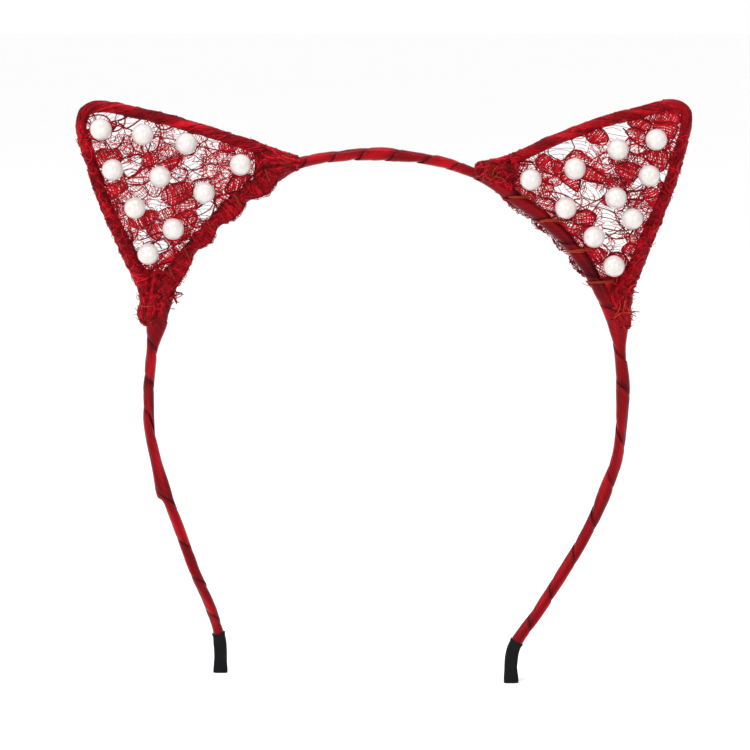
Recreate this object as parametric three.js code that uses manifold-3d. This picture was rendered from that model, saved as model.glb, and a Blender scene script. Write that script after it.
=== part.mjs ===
// Cat-ear headband: a sprung wire band wound with satin ribbon, two lace ears on bent wires,
// sewn to the band by thread lashings, with pearls sewn on the lace and a sleeve on each wire end.
//
// Millimetres, +Z up. The origin is under the middle of the crown, where the band rests on the
// head. -Y is the front, the side with the pearls. "left" is -X, as seen from the front.

import * as THREE from 'three';
import { mergeVertices } from 'three/addons/utils/BufferGeometryUtils.js';
import Module from 'manifold-3d';

const wasm = await Module();
wasm.setup();

// ---------------------------------------------------------------- driving dimensions

const clearance = 0.3; // between neighbouring pieces

const bandWireRadius = 0.75;
const ribbonRadius = 1.75;
const ribbonBore = bandWireRadius + clearance;
const bandStep = 5; // between the rings of a band tube
const bandSides = 8;

const earWireRadius = 0.6;
const rimRadius = 2.1; // lace rolled round the ear wire
const rimBore = 1.15; // the roll is loose on the wire, so that both can take the bend at the apex
const earStep = 3; // between the rings of the ear wire and of its rolls of lace

// How far along an ear wire, as a fraction of its route, its pieces start and stop.
const earWireTrim = 0.008; // at each end
const rimSpan = [0.085, 0.88];
const laceSpan = [0.08, 0.9];
const laceBeforeApex = 0.035;
const laceAfterApex = 0.04;

const laceHalfThickness = 0.4;
const hemThickness = 0.6;
const hemTop = 1.4; // above the band's centreline
const hemPinch = 2.0; // below the band's centreline, at a lashing
const hemLobe = 2.4; // how much further a lobe hangs between two lashings
const baseBelowBunch = 5; // the lace meets the band this far below the inner bunch's wide end
const gatherHalfDepth = 2.75;

const pearlRadius = 3;
const pearlBore = 0.6;
const pearlFront = -(laceHalfThickness + clearance + pearlRadius);
const threadRadius = 0.2;
const stitchReach = 2.4; // from a pearl's centre, where its thread goes through the lace
const stitchRise = -1.2; // depth at which the thread turns towards the bore
const stitchTurn = [3.3, 1.1]; // reach and distance behind the pearl's centre of the turn
const stitchMouth = 3.12; // reach of the thread where it enters the bore

const lashingInner = 2.65; // inside radius of a lashing round the ribbon
const lashingThickness = 0.5;
const lashingWidth = 2;
const lashingSides = 12;
const lashingShift = 0.45; // a lashing's centre lies this far up the ear and towards the hem
const footLashingPlace = 1.5; // from the narrow end of a bunch

const capWidth = 4.3;
const capDepth = 3.6;
const capCorner = 1.2;
const capFloor = 1; // solid stretch at the closed end of a sleeve
const capRunIn = 3; // the tool that cuts the bore starts this far outside the mouth

const legTwist = 6; // the left tip stands this far back, the right tip this far forward
const twistTop = -55;
const twistLength = 79;
const hingeHeight = -52; // where the legs flex from the crown
const hingeHalfGap = 0.4;
const capMouthHeight = -134.6;
const crownRibbonEnds = { left: -1.6, right: -4.6 }; // heights at which the crown's winding stops
const bunchBoreSpan = [hingeHeight + 1.5, 1]; // heights between which the bunches are cut for the band

// ---------------------------------------------------------------- routes

// A leg leaves the plane of the ears slowly below `twistTop`.
function legDepth(x, z) {
  const run = THREE.MathUtils.clamp((twistTop - z) / twistLength, 0, 1);
  return -Math.sign(x) * legTwist * run * run;
}

const bandRoute = new THREE.CatmullRomCurve3([
  [-47.4, -146.1], [-47.4, -138.2], [-48.2, -133.0], [-50.9, -124.2], [-59.4, -101.2],
  [-66.0, -78.2], [-66.5, -66.8], [-65.4, -52.0], [-64.2, -44.0], [-59.4, -32.4],
  [-53.2, -23.3], [-46.3, -16.2], [-38.5, -9.4], [-30.6, -3.7], [-22.8, -0.3],
  [-14.0, 1.2], [-5.0, 1.9], [5.9, 1.3], [14.8, -0.3], [23.0, -2.9],
  [29.6, -6.2], [38.8, -12.4], [48.8, -20.7], [57.4, -32.0], [62.0, -41.4],
  [64.9, -52.0], [66.1, -66.8], [65.2, -78.1], [57.9, -100.7], [44.3, -123.4],
  [38.2, -133.0], [36.0, -137.4], [35.1, -141.6], [35.1, -146.1],
].map(([x, z]) => new THREE.Vector3(x, legDepth(x, z), z)), false, 'centripetal');
bandRoute.arcLengthDivisions = 1600;

function earRoute(points) {
  const route = new THREE.CatmullRomCurve3(
    points.map(([x, z]) => new THREE.Vector3(x, 0, z)), false, 'centripetal');
  route.arcLengthDivisions = 800;
  return route;
}

// The part of a longer route between two of its arc-length fractions.
class Stretch extends THREE.Curve {
  constructor(route, start, end) {
    super();
    this.route = route;
    this.start = start;
    this.end = end;
  }
  getPoint(t) {
    return this.route.getPointAt(THREE.MathUtils.lerp(this.start, this.end, t));
  }
}

// A route of straight lines, for an extrusion with one ring at each of its points.
class Stitches extends THREE.Curve {
  constructor(points) {
    super();
    this.points = points;
  }
  getPoint(t) {
    const place = t * (this.points.length - 1);
    const first = Math.min(Math.floor(place), this.points.length - 2);
    return this.points[first].clone().lerp(this.points[first + 1], place - first);
  }
  getPointAt(u) {
    return this.getPoint(u);
  }
  getTangentAt(u) {
    return this.getTangent(u);
  }
  getTangent(u) {
    const last = this.points.length - 1;
    const at = Math.round(u * last);
    const into = this.points[Math.max(at, 1)].clone().sub(this.points[Math.max(at, 1) - 1]);
    const out = this.points[Math.min(at, last - 1) + 1].clone().sub(this.points[Math.min(at, last - 1)]);
    return into.normalize().add(out.normalize()).normalize();
  }
}

// The fraction of a route, between two fractions, at which it reaches a height.
function fractionAtHeight(route, height, low, high) {
  const rising = route.getPointAt(high).z > route.getPointAt(low).z;
  for (let halving = 0; halving < 40; halving += 1) {
    const middle = (low + high) / 2;
    if ((route.getPointAt(middle).z < height) === rising) low = middle;
    else high = middle;
  }
  return (low + high) / 2;
}

// A point of a route in the plane of the ears, moved to the left of its direction of travel.
function besideRoute(route, fraction, distance) {
  const point = route.getPointAt(fraction);
  const tangent = route.getTangentAt(fraction);
  return new THREE.Vector2(point.x - tangent.z * distance, point.z + tangent.x * distance);
}

function lineBeside(route, from, to, count, distance) {
  return Array.from({ length: count + 1 }, (_, i) =>
    besideRoute(route, THREE.MathUtils.lerp(from, to, i / count), distance));
}

// ---------------------------------------------------------------- solids

function ellipsePoints(halfWidth, halfHeight, sides) {
  return Array.from({ length: sides }, (_, i) => {
    const angle = (2 * Math.PI * i) / sides;
    return new THREE.Vector2(halfWidth * Math.cos(angle), halfHeight * Math.sin(angle));
  });
}

function tube(route, { radius, bore = 0, sides, step }) {
  const section = new THREE.Shape(ellipsePoints(radius, radius, sides));
  if (bore > 0) section.holes.push(new THREE.Path(ellipsePoints(bore, bore, 6)));
  const steps = Math.max(2, Math.round(route.getLength() / step));
  return new THREE.ExtrudeGeometry(section, { steps, extrudePath: route });
}

function threadTube(points, radius) {
  const section = new THREE.Shape(ellipsePoints(radius, radius, 4));
  const extrudePath = new Stitches(points);
  return new THREE.ExtrudeGeometry(section, { steps: points.length - 1, extrudePath });
}

// A flat plate in the XZ plane, between two depths along Y.
function plate(outline, front, back) {
  const shape = new THREE.Shape(outline);
  const geometry = new THREE.ExtrudeGeometry(shape, { depth: back - front, bevelEnabled: false });
  geometry.rotateX(Math.PI / 2);
  geometry.translate(0, back, 0);
  return geometry;
}

// An elliptical ring of thread round a stretch that runs in the XZ plane. `grow` thickens it all over.
function ring({ centre, along, halfWidth, halfDepth, grow = 0 }) {
  const outside = lashingThickness + grow;
  const outer = ellipsePoints(halfWidth + outside, halfDepth + outside, lashingSides);
  const section = new THREE.Shape(outer);
  section.holes.push(new THREE.Path(ellipsePoints(halfWidth - grow, halfDepth - grow, lashingSides)));
  const length = lashingWidth + 2 * grow;
  const geometry = new THREE.ExtrudeGeometry(section, { depth: length, bevelEnabled: false });
  geometry.translate(0, 0, -length / 2);
  const depthAxis = new THREE.Vector3(0, 1, 0);
  const across = new THREE.Vector3().crossVectors(depthAxis, along);
  geometry.applyMatrix4(new THREE.Matrix4().makeBasis(across, depthAxis, along).setPosition(centre));
  return geometry;
}

// Bunched lace: a sleeve of elliptical sections from a narrow end to a wide one.
function bunch(narrowEnd, wideEnd, halfWidths, grow = 0) {
  const along = wideEnd.clone().sub(narrowEnd);
  const length = along.length() + 2 * grow;
  along.normalize();
  const profile = [new THREE.Vector2(0, 0)];
  halfWidths.forEach((halfWidth, i) => {
    profile.push(new THREE.Vector2(halfWidth + grow, (length * i) / (halfWidths.length - 1)));
  });
  profile.push(new THREE.Vector2(0, length));
  const geometry = new THREE.LatheGeometry(profile, 14);
  const position = geometry.attributes.position;
  for (let i = 0; i < position.count; i += 1) {
    const radius = Math.hypot(position.getX(i), position.getZ(i));
    if (radius > 0) position.setZ(i, (position.getZ(i) * (gatherHalfDepth + grow)) / radius);
  }
  const across = new THREE.Vector3(along.z, 0, -along.x);
  const frame = new THREE.Matrix4().makeBasis(across, along, new THREE.Vector3(0, -1, 0));
  frame.setPosition(narrowEnd.clone().addScaledVector(along, -grow));
  geometry.applyMatrix4(frame);
  return geometry;
}

function solidOf(geometry) {
  const bare = geometry.clone();
  bare.deleteAttribute('normal');
  bare.deleteAttribute('uv');
  const merged = mergeVertices(bare, 1e-4);
  const corners = merged.index.array;
  const triVerts = [];
  for (let i = 0; i < corners.length; i += 3) {
    const [a, b, c] = corners.subarray(i, i + 3);
    if (a !== b && b !== c && c !== a) triVerts.push(a, b, c);
  }
  return new wasm.Manifold(new wasm.Mesh({
    numProp: 3,
    vertProperties: merged.attributes.position.array,
    triVerts: Uint32Array.from(triVerts),
  }));
}

function cut(geometry, ...cutters) {
  const mesh = cutters
    .reduce((solid, cutter) => solid.subtract(solidOf(cutter)), solidOf(geometry))
    .getMesh();
  const result = new THREE.BufferGeometry();
  result.setAttribute('position', new THREE.BufferAttribute(mesh.vertProperties, 3));
  result.setIndex(new THREE.BufferAttribute(mesh.triVerts, 1));
  result.computeVertexNormals();
  return result;
}

// ---------------------------------------------------------------- materials

const springSteel = new THREE.MeshStandardMaterial({ color: 0x8b8d90, roughness: 0.35, metalness: 0.9 });
const satin = new THREE.MeshStandardMaterial({ color: 0x95202a, roughness: 0.42, metalness: 0 });
const lace = new THREE.MeshStandardMaterial({ color: 0x8e1018, roughness: 0.75, metalness: 0 });
const pearl = new THREE.MeshStandardMaterial({ color: 0xf7f3ef, roughness: 0.2, metalness: 0 });
const sewingThread = new THREE.MeshStandardMaterial({ color: 0xb03c1e, roughness: 0.6, metalness: 0 });
const fineThread = new THREE.MeshStandardMaterial({ color: 0x7a1018, roughness: 0.6, metalness: 0 });
const blackSleeve = new THREE.MeshStandardMaterial({ color: 0x1c1d1f, roughness: 0.7, metalness: 0 });

const headband = new THREE.Group();

function add(parent, name, geometry, material) {
  const mesh = new THREE.Mesh(geometry, material);
  mesh.name = name;
  parent.add(mesh);
}

// ---------------------------------------------------------------- band

const bandLength = bandRoute.getLength();
const crownMiddle = 0.5;
const leftFlex = fractionAtHeight(bandRoute, hingeHeight, 0, crownMiddle);
const rightFlex = fractionAtHeight(bandRoute, hingeHeight, crownMiddle, 1);
const flexGap = hingeHalfGap / bandLength;
const leftCrownEnd = fractionAtHeight(bandRoute, crownRibbonEnds.left, 0, crownMiddle);
const rightCrownEnd = fractionAtHeight(bandRoute, crownRibbonEnds.right, crownMiddle, 1);
const ribbonGap = clearance / 2 / bandLength;

function ribbonTube(start, end) {
  const route = new Stretch(bandRoute, start, end);
  return tube(route, { radius: ribbonRadius, bore: ribbonBore, sides: bandSides, step: bandStep });
}

function bandWireTube(start, end, grow = 0) {
  const route = new Stretch(bandRoute, start, end);
  return tube(route, { radius: bandWireRadius + grow, sides: 6, step: bandStep });
}

function buildCrownBand(parent) {
  const [start, end] = [leftFlex + flexGap, rightFlex - flexGap];
  const windings = {
    ribbon_wrap_left_ear_base: [start, leftCrownEnd - ribbonGap],
    ribbon_wrap_crown: [leftCrownEnd + ribbonGap, rightCrownEnd - ribbonGap],
    ribbon_wrap_right_ear_base: [rightCrownEnd + ribbonGap, end],
  };
  add(parent, 'band_wire_crown', bandWireTube(start, end), springSteel);
  Object.entries(windings).forEach(([name, span]) => add(parent, name, ribbonTube(...span), satin));
}

function sleeveSection() {
  const x = capDepth / 2 - capCorner;
  const y = capWidth / 2 - capCorner;
  const section = new THREE.Shape();
  section.absarc(x, y, capCorner, 0, Math.PI / 2);
  section.absarc(-x, y, capCorner, Math.PI / 2, Math.PI);
  section.absarc(-x, -y, capCorner, Math.PI, 1.5 * Math.PI);
  section.absarc(x, -y, capCorner, 1.5 * Math.PI, 2 * Math.PI);
  return section;
}

// One leg: its wire, its ribbon and the sleeve on its end. `flex` and `tip` are band fractions.
function buildLeg(parent, side, flex, tip) {
  const outward = Math.sign(tip - flex);
  const range = outward > 0 ? [crownMiddle, 1] : [0, crownMiddle];
  const mouth = fractionAtHeight(bandRoute, capMouthHeight, ...range);
  const top = flex + outward * flexGap;
  const wireEnd = tip - (outward * (capFloor + clearance)) / bandLength;
  const boreEnd = tip - (outward * capFloor) / bandLength;
  const boreStart = mouth - (outward * capRunIn) / bandLength;
  const ribbonEnd = mouth - (outward * clearance) / bandLength;
  const sleeve = new THREE.ExtrudeGeometry(sleeveSection(), {
    steps: 4, curveSegments: 2, extrudePath: new Stretch(bandRoute, mouth, tip),
  });
  add(parent, `band_wire_${side}_leg`, bandWireTube(top, wireEnd), springSteel);
  add(parent, `ribbon_wrap_${side}_leg`, ribbonTube(top, ribbonEnd), satin);
  add(parent, `${side}_end_cap`, cut(sleeve, bandWireTube(boreStart, boreEnd, clearance)), blackSleeve);
}

// ---------------------------------------------------------------- ears

// Each ear: the wire's route from its inner foot round the apex to its outer foot, the pearls
// as [x, z, angle of the bore], in sewing order, and the two bunches of lace at its feet.
const ears = {
  left: {
    route: earRoute([
      [-26.6, 1.5], [-31.0, 2.1], [-38.6, 4.3], [-52.0, 8.6], [-65.6, 12.0], [-78.3, 14.3],
      [-82.2, 13.4], [-83.6, 9.8], [-80.5, -2.4], [-76.0, -15.9], [-71.2, -27.2],
      [-68.0, -37.0], [-67.4, -46.8],
    ]),
    apex: 0.533,
    inside: 1,
    hemFront: -(ribbonRadius + clearance + hemThickness),
    hemShift: -lashingShift,
    hemLobes: 3,
    inner: { narrow: [-25.4, -0.4], wide: [-36.6, -2.0], halfWidths: [2.9, 4.1, 6.1, 8.2] },
    outer: { narrow: [-65.9, -48.0], wide: [-64.2, -30.4], halfWidths: [3.5, 4.1, 5.9, 8.3] },
    lashings: [-11.2, -18.2, -25.4],
    pearls: [
      [-78.5, 8.8, 47], [-67.0, 7.4, -15], [-55.1, 4.9, -18], [-40.2, -0.9, 70], [-50.3, -8.6, 45],
      [-62.4, -4.2, 10], [-75.4, -2.3, -70], [-69.4, -12.8, -68], [-58.9, -18.6, -45],
      [-65.9, -25.5, -65],
    ],
  },
  right: {
    route: earRoute([
      [27.2, -1.4], [31.5, -0.7], [37.7, 1.4], [48.7, 6.3], [59.4, 10.1], [70.3, 13.0],
      [78.9, 14.7], [81.6, 13.2], [81.9, 10.2], [81.0, 5.0], [78.6, -3.8], [74.8, -15.0],
      [69.9, -28.0], [67.3, -37.4], [67.0, -46.6],
    ]),
    apex: 0.539,
    inside: -1,
    hemFront: ribbonRadius + clearance,
    hemShift: lashingShift,
    hemLobes: 4,
    inner: { narrow: [25.8, -2.8], wide: [36.0, -5.1], halfWidths: [3.0, 4.4, 6.5, 8.5] },
    outer: { narrow: [65.2, -48.2], wide: [62.9, -33.0], halfWidths: [3.5, 4.2, 5.8, 7.9] },
    lashings: [-13.6, -19.6, -26.6],
    pearls: [
      [74.1, 6.0, 20], [63.6, 3.3, 15], [51.8, -2.0, 18], [39.7, -5.0, -70], [49.4, -12.8, -42],
      [63.2, -10.0, 0], [72.3, -3.9, 72], [67.8, -15.8, 68], [57.3, -20.8, -48], [62.9, -28.9, 65],
    ],
  },
};

function inPlane([x, z]) {
  return new THREE.Vector3(x, 0, z);
}

function footBunch({ narrow, wide, halfWidths }, grow = 0) {
  return bunch(inPlane(narrow), inPlane(wide), halfWidths, grow);
}

// Ring that ties the narrow end of a bunch, and with it the foot of the ear wire, to the band.
function footLashing({ narrow, wide, halfWidths }) {
  const start = inPlane(narrow);
  const along = inPlane(wide).sub(start);
  const firstPart = along.length() / (halfWidths.length - 1);
  along.normalize();
  const widestInside = (footLashingPlace + lashingWidth / 2) / firstPart;
  return ring({
    centre: start.addScaledVector(along, footLashingPlace),
    along,
    halfWidth: THREE.MathUtils.lerp(halfWidths[0], halfWidths[1], widestInside) + clearance,
    halfDepth: gatherHalfDepth + clearance,
  });
}

// Ring round the band, through the lower edge of the lace.
function baseLashing(fraction, hemShift, grow = 0) {
  const centre = bandRoute.getPointAt(fraction);
  const along = bandRoute.getTangentAt(fraction);
  along.y = 0;
  along.normalize();
  centre.add(new THREE.Vector3(-along.z * lashingShift, hemShift, along.x * lashingShift));
  return ring({ centre, along, halfWidth: lashingInner, halfDepth: lashingInner, grow });
}

function panelOutline(route, apex, inside, baseOuter, baseInner) {
  const setback = inside * (rimRadius + clearance);
  const top = lineBeside(route, laceSpan[0], apex - laceBeforeApex, 8, setback);
  const outer = lineBeside(route, apex + laceAfterApex, laceSpan[1], 8, setback);
  const base = lineBeside(bandRoute, baseOuter, baseInner, 9, ribbonRadius + clearance);
  return [...top, ...outer, ...base];
}

// The edge of the lace folded over the band: lobes that hang between the lashings.
function hemOutline(baseOuter, baseInner, lobes) {
  const pointsPerLobe = 6;
  const count = lobes * pointsPerLobe;
  const upper = lineBeside(bandRoute, baseOuter, baseInner, count, hemTop);
  const lower = Array.from({ length: count + 1 }, (_, i) => {
    const hang = hemPinch + hemLobe * Math.abs(Math.sin((Math.PI * i) / pointsPerLobe));
    return besideRoute(bandRoute, THREE.MathUtils.lerp(baseInner, baseOuter, i / count), -hang);
  });
  return [...upper, ...lower];
}

// One thread through every pearl and the lace under it, running behind the lace between pearls.
function threadRoute(pearls) {
  const behind = laceHalfThickness + clearance + 2 * threadRadius;
  const points = [];
  let last = null;
  for (const [x, z, boreAngle] of pearls) {
    const bore = new THREE.Vector3(1, 0, 0).applyAxisAngle(
      new THREE.Vector3(0, 1, 0), -THREE.MathUtils.degToRad(boreAngle));
    const centre = new THREE.Vector3(x, 0, z);
    const at = (reach, depth) => centre.clone().addScaledVector(bore, reach).setY(depth);
    const fromLast = (reach) => (last ? last.distanceTo(at(reach, behind)) : 0);
    if (fromLast(stitchReach) < fromLast(-stitchReach)) bore.negate();
    const half = [
      [stitchReach, behind], [stitchReach, stitchRise],
      [stitchTurn[0], pearlFront + stitchTurn[1]], [stitchMouth, pearlFront],
    ];
    half.forEach(([reach, depth]) => points.push(at(-reach, depth)));
    half.reverse().forEach(([reach, depth]) => points.push(at(reach, depth)));
    last = points[points.length - 1];
  }
  return points;
}

function pearlGeometry() {
  const arc = 5;
  const poleAngle = Math.acos(pearlBore / pearlRadius);
  const profile = Array.from({ length: arc + 1 }, (_, i) => {
    const angle = THREE.MathUtils.lerp(-poleAngle, poleAngle, i / arc);
    return new THREE.Vector2(pearlRadius * Math.cos(angle), pearlRadius * Math.sin(angle));
  });
  profile.push(profile[0].clone());
  const geometry = new THREE.LatheGeometry(profile, 10);
  geometry.rotateZ(-Math.PI / 2);
  return geometry;
}

function buildEar(parent, side, ear) {
  const { route, apex, inside } = ear;
  const range = side === 'left' ? [0, crownMiddle] : [crownMiddle, 1];
  const bandAt = (height) => fractionAtHeight(bandRoute, height, ...range);
  const baseOuter = bandAt(ear.outer.wide[1]);
  const baseInner = bandAt(ear.inner.wide[1] - baseBelowBunch);

  const fatRibbon = tube(new Stretch(bandRoute, ...bunchBoreSpan.map(bandAt)), {
    radius: ribbonRadius + clearance, sides: bandSides, step: bandStep / 2,
  });
  const fatEarWire = tube(new Stretch(route, 0, 1), {
    radius: earWireRadius + clearance, sides: 6, step: earStep,
  });
  const fatBunches = [footBunch(ear.inner, clearance), footBunch(ear.outer, clearance)];
  const lashingPlaces = ear.lashings.map(bandAt);
  const fatLashings = lashingPlaces.map((place) => baseLashing(place, ear.hemShift, clearance));

  const earWire = tube(new Stretch(route, earWireTrim, 1 - earWireTrim), {
    radius: earWireRadius, sides: 6, step: earStep,
  });
  add(parent, `${side}_ear_wire`, earWire, springSteel);

  const rimGap = clearance / 2 / route.getLength();
  const rimSize = { radius: rimRadius, bore: rimBore, sides: 8, step: earStep };
  const rim = (start, end) => cut(tube(new Stretch(route, start, end), rimSize), ...fatBunches);
  add(parent, `${side}_ear_top_rim`, rim(rimSpan[0], apex - rimGap), lace);
  add(parent, `${side}_ear_outer_rim`, rim(apex + rimGap, rimSpan[1]), lace);

  const outline = panelOutline(route, apex, inside, baseOuter, baseInner);
  const panel = plate(outline, -laceHalfThickness, laceHalfThickness);
  const pearlThread = threadRoute(ear.pearls);
  const fatThread = threadTube(pearlThread, threadRadius + clearance);
  add(parent, `${side}_ear_lace_panel`, cut(panel, ...fatBunches, ...fatLashings, fatThread), lace);

  const hemShape = hemOutline(baseOuter, baseInner, ear.hemLobes);
  const hem = plate(hemShape, ear.hemFront, ear.hemFront + hemThickness);
  add(parent, `${side}_ear_lace_hem`, cut(hem, ...fatBunches, ...fatLashings), lace);

  for (const foot of ['inner', 'outer']) {
    add(parent, `${side}_${foot}_foot_gather`, cut(footBunch(ear[foot]), fatRibbon, fatEarWire), lace);
    add(parent, `${side}_${foot}_foot_lashing`, footLashing(ear[foot]), sewingThread);
  }
  lashingPlaces.forEach((place, i) => {
    add(parent, `${side}_base_lashing_${i + 1}`, baseLashing(place, ear.hemShift), sewingThread);
  });

  const pearlSolid = pearlGeometry();
  ear.pearls.forEach(([x, z, boreAngle], i) => {
    const mesh = new THREE.Mesh(pearlSolid, pearl);
    mesh.name = `${side}_pearl_${String(i + 1).padStart(2, '0')}`;
    mesh.position.set(x, pearlFront, z);
    mesh.rotation.y = -THREE.MathUtils.degToRad(boreAngle);
    parent.add(mesh);
  });
  add(parent, `${side}_pearl_thread`, threadTube(pearlThread, threadRadius), fineThread);
}

// ---------------------------------------------------------------- assembly

const crown = new THREE.Group();
buildCrownBand(crown);
buildEar(crown, 'left', ears.left);
buildEar(crown, 'right', ears.right);

const leftLeg = new THREE.Group();
buildLeg(leftLeg, 'left', leftFlex, 0);

const rightLeg = new THREE.Group();
buildLeg(rightLeg, 'right', rightFlex, 1);

headband.add(crown, leftLeg, rightLeg);

export default headband;
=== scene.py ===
"""Looks of a cat-ear headband: satin-wound wire band, lace ears on wires, sewn pearls, sleeves.

Lengths in this script are millimetres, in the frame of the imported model: +Z up, -Y the front.
Meshes are written in metres. "left" is -X.
"""

import math

import bpy
import numpy as np
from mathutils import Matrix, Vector


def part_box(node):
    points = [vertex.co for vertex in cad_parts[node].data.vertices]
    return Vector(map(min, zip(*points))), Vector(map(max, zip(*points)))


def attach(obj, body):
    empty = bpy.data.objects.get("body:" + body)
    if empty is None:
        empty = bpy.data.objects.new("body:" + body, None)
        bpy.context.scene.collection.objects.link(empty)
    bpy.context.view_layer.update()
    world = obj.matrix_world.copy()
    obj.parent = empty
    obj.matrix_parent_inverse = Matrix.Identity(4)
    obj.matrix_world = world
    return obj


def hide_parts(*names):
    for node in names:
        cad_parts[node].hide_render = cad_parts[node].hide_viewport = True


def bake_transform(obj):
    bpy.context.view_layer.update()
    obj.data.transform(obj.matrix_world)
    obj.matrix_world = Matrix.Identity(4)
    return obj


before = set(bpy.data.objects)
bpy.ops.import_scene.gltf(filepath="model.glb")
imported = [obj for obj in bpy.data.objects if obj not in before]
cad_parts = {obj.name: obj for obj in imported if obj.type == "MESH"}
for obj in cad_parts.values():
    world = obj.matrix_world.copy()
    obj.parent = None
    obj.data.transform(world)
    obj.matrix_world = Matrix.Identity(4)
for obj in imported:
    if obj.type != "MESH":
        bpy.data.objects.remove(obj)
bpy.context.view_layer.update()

MM = 0.001
BACK = np.array([0.0, 1.0, 0.0])  # away from the viewer
CROWN, LEFT_LEG, RIGHT_LEG = "crown", "left_leg", "right_leg"

# ---------------------------------------------------------------- sizes, as in the part's source

RIBBON_RADIUS = 1.48  # the cloth lies inside the part's own 1.75
RIM_RADIUS = 1.62
GATHER_HALF_DEPTH = 2.75
PEARL_RADIUS = 3.0
PEARL_FRONT = -3.7
CAP_MOUTH_HEIGHT = -134.6
TIP_HEIGHT = -146.1

BAND_POINTS = [
    (-47.4, -146.1), (-47.4, -138.2), (-48.2, -133.0), (-50.9, -124.2), (-59.4, -101.2),
    (-66.0, -78.2), (-66.5, -66.8), (-65.4, -52.0), (-64.2, -44.0), (-59.4, -32.4),
    (-53.2, -23.3), (-46.3, -16.2), (-38.5, -9.4), (-30.6, -3.7), (-22.8, -0.3),
    (-14.0, 1.2), (-5.0, 1.9), (5.9, 1.3), (14.8, -0.3), (23.0, -2.9),
    (29.6, -6.2), (38.8, -12.4), (48.8, -20.7), (57.4, -32.0), (62.0, -41.4),
    (64.9, -52.0), (66.1, -66.8), (65.2, -78.1), (57.9, -100.7), (44.3, -123.4),
    (38.2, -133.0), (36.0, -137.4), (35.1, -141.6), (35.1, -146.1),
]
TWIST_TOP, TWIST_LENGTH, LEG_TWIST = -55.0, 79.0, 6.0

# Points on the band near which the ribbon's free edge crosses the front, from left tip to right.
SEAM_POINTS = [
    (-47.4, -141.0), (-50.7, -128.7), (-54.6, -118.3), (-59.3, -108.0), (-62.2, -94.9),
    (-66.4, -69.6), (-66.1, -60.6), (-65.0, -50.5), (-62.0, -38.5), (-57.0, -28.5),
    (-49.5, -19.5), (-41.0, -11.6), (-31.5, -4.3), (-22.3, 0.0), (-14.3, 1.2), (-6.5, 1.9),
    (2.2, 1.7), (11.4, 0.4), (18.9, -1.4), (27.0, -4.7), (35.3, -9.8), (43.6, -16.0),
    (51.0, -23.0), (57.4, -32.0), (62.0, -41.4), (65.2, -54.6), (66.0, -63.2), (65.2, -78.1),
    (61.6, -88.9), (57.6, -100.9), (52.0, -110.6), (45.6, -121.2), (40.2, -129.9), (35.6, -139.5),
]

# wire runs from the inner foot over the apex, at a share of its length, to the outer foot. inside
# says on which side of the wire the lace is. inner and outer are the feet: each goes from its tied,
# narrow end to its wide end, with half-widths at even steps and the length of a rounded nose.
# lashings are heights on the band, and stitch is half their length and their slant. rim_shift moves
# the rim outward along the wire. tufts are loose ends: x, z and count. bores are slants in degrees.
EARS = {
    "left": {
        "wire": [
            (-26.6, 1.5), (-31.0, 2.1), (-38.6, 4.3), (-52.0, 8.6), (-65.6, 12.0), (-78.3, 14.3),
            (-82.2, 13.4), (-83.6, 9.8), (-80.5, -2.4), (-76.0, -15.9), (-71.2, -27.2),
            (-68.0, -37.0), (-67.4, -46.8),
        ],
        "apex": 0.533,
        "inside": 1,
        "inner": {
            "narrow": (-23.2, -0.2), "wide": (-36.6, -2.0),
            "widths": (1.5, 3.3, 5.5, 8.2), "nose": 1.2,
        },
        "outer": {
            "narrow": (-66.2, -46.6), "wide": (-64.2, -30.4),
            "widths": (3.0, 4.2, 5.9, 8.3), "nose": 4.0,
        },
        "lashings": ((-4.8, -11.2), (-18.2,), (-25.4, -31.5)),
        "stitch": (2.5, 0.47, -0.88),
        "rim_shift": (0.1, 0.45, 0.7, 0.35, 0.1, -0.7),
        "tufts": ((-59.6, -35.0, 12), (-58.8, -37.2, 16), (-61.0, -39.8, 10)),
        "bores": (47, -15, -18, 70, 45, 10, -70, -68, -45, -65),
        "seed": 11,
    },
    "right": {
        "wire": [
            (27.2, -1.4), (31.5, -0.7), (37.7, 1.4), (48.7, 6.3), (59.4, 10.1), (70.3, 13.0),
            (78.9, 14.7), (81.6, 13.2), (81.9, 10.2), (81.0, 5.0), (78.6, -3.8), (74.8, -15.0),
            (69.9, -28.0), (67.3, -37.4), (67.0, -46.6),
        ],
        "apex": 0.539,
        "inside": -1,
        "inner": {
            "narrow": (23.6, -2.1), "wide": (36.0, -4.6),
            "widths": (1.7, 3.4, 5.2, 8.3), "nose": 1.2,
        },
        "outer": {
            "narrow": (66.9, -47.4), "wide": (62.9, -31.5),
            "widths": (1.6, 2.6, 4.7, 8.1), "nose": 1.5,
        },
        "lashings": ((-10.4,), (-16.8,), (-25.0, -33.8)),
        "stitch": (3.8, 1.0, 0.08),
        "rim_shift": (0.3, 0.45, 0.75, 0.35, 0.2, -0.3),
        "tufts": ((67.6, -36.5, 4), (67.5, -42.5, 5)),
        "bores": (20, 15, 18, -70, -42, 0, 72, 68, -48, 65),
        "seed": 23,
    },
}


# ---------------------------------------------------------------- curves and small maths


def between(a, b, share):
    """a where share is 0, and b where it is 1."""
    return (1 - share) * a + share * b


def unit(vectors):
    """Vectors along the last axis, scaled to length 1."""
    return vectors / np.maximum(np.linalg.norm(vectors, axis=-1, keepdims=True), 1e-9)


def ease(x, low, high):
    """0 up to low, 1 from high, and smooth between. low may be the larger."""
    t = np.clip((np.asarray(x, float) - low) / (high - low), 0, 1)
    return t * t * (3 - 2 * t)


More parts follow.
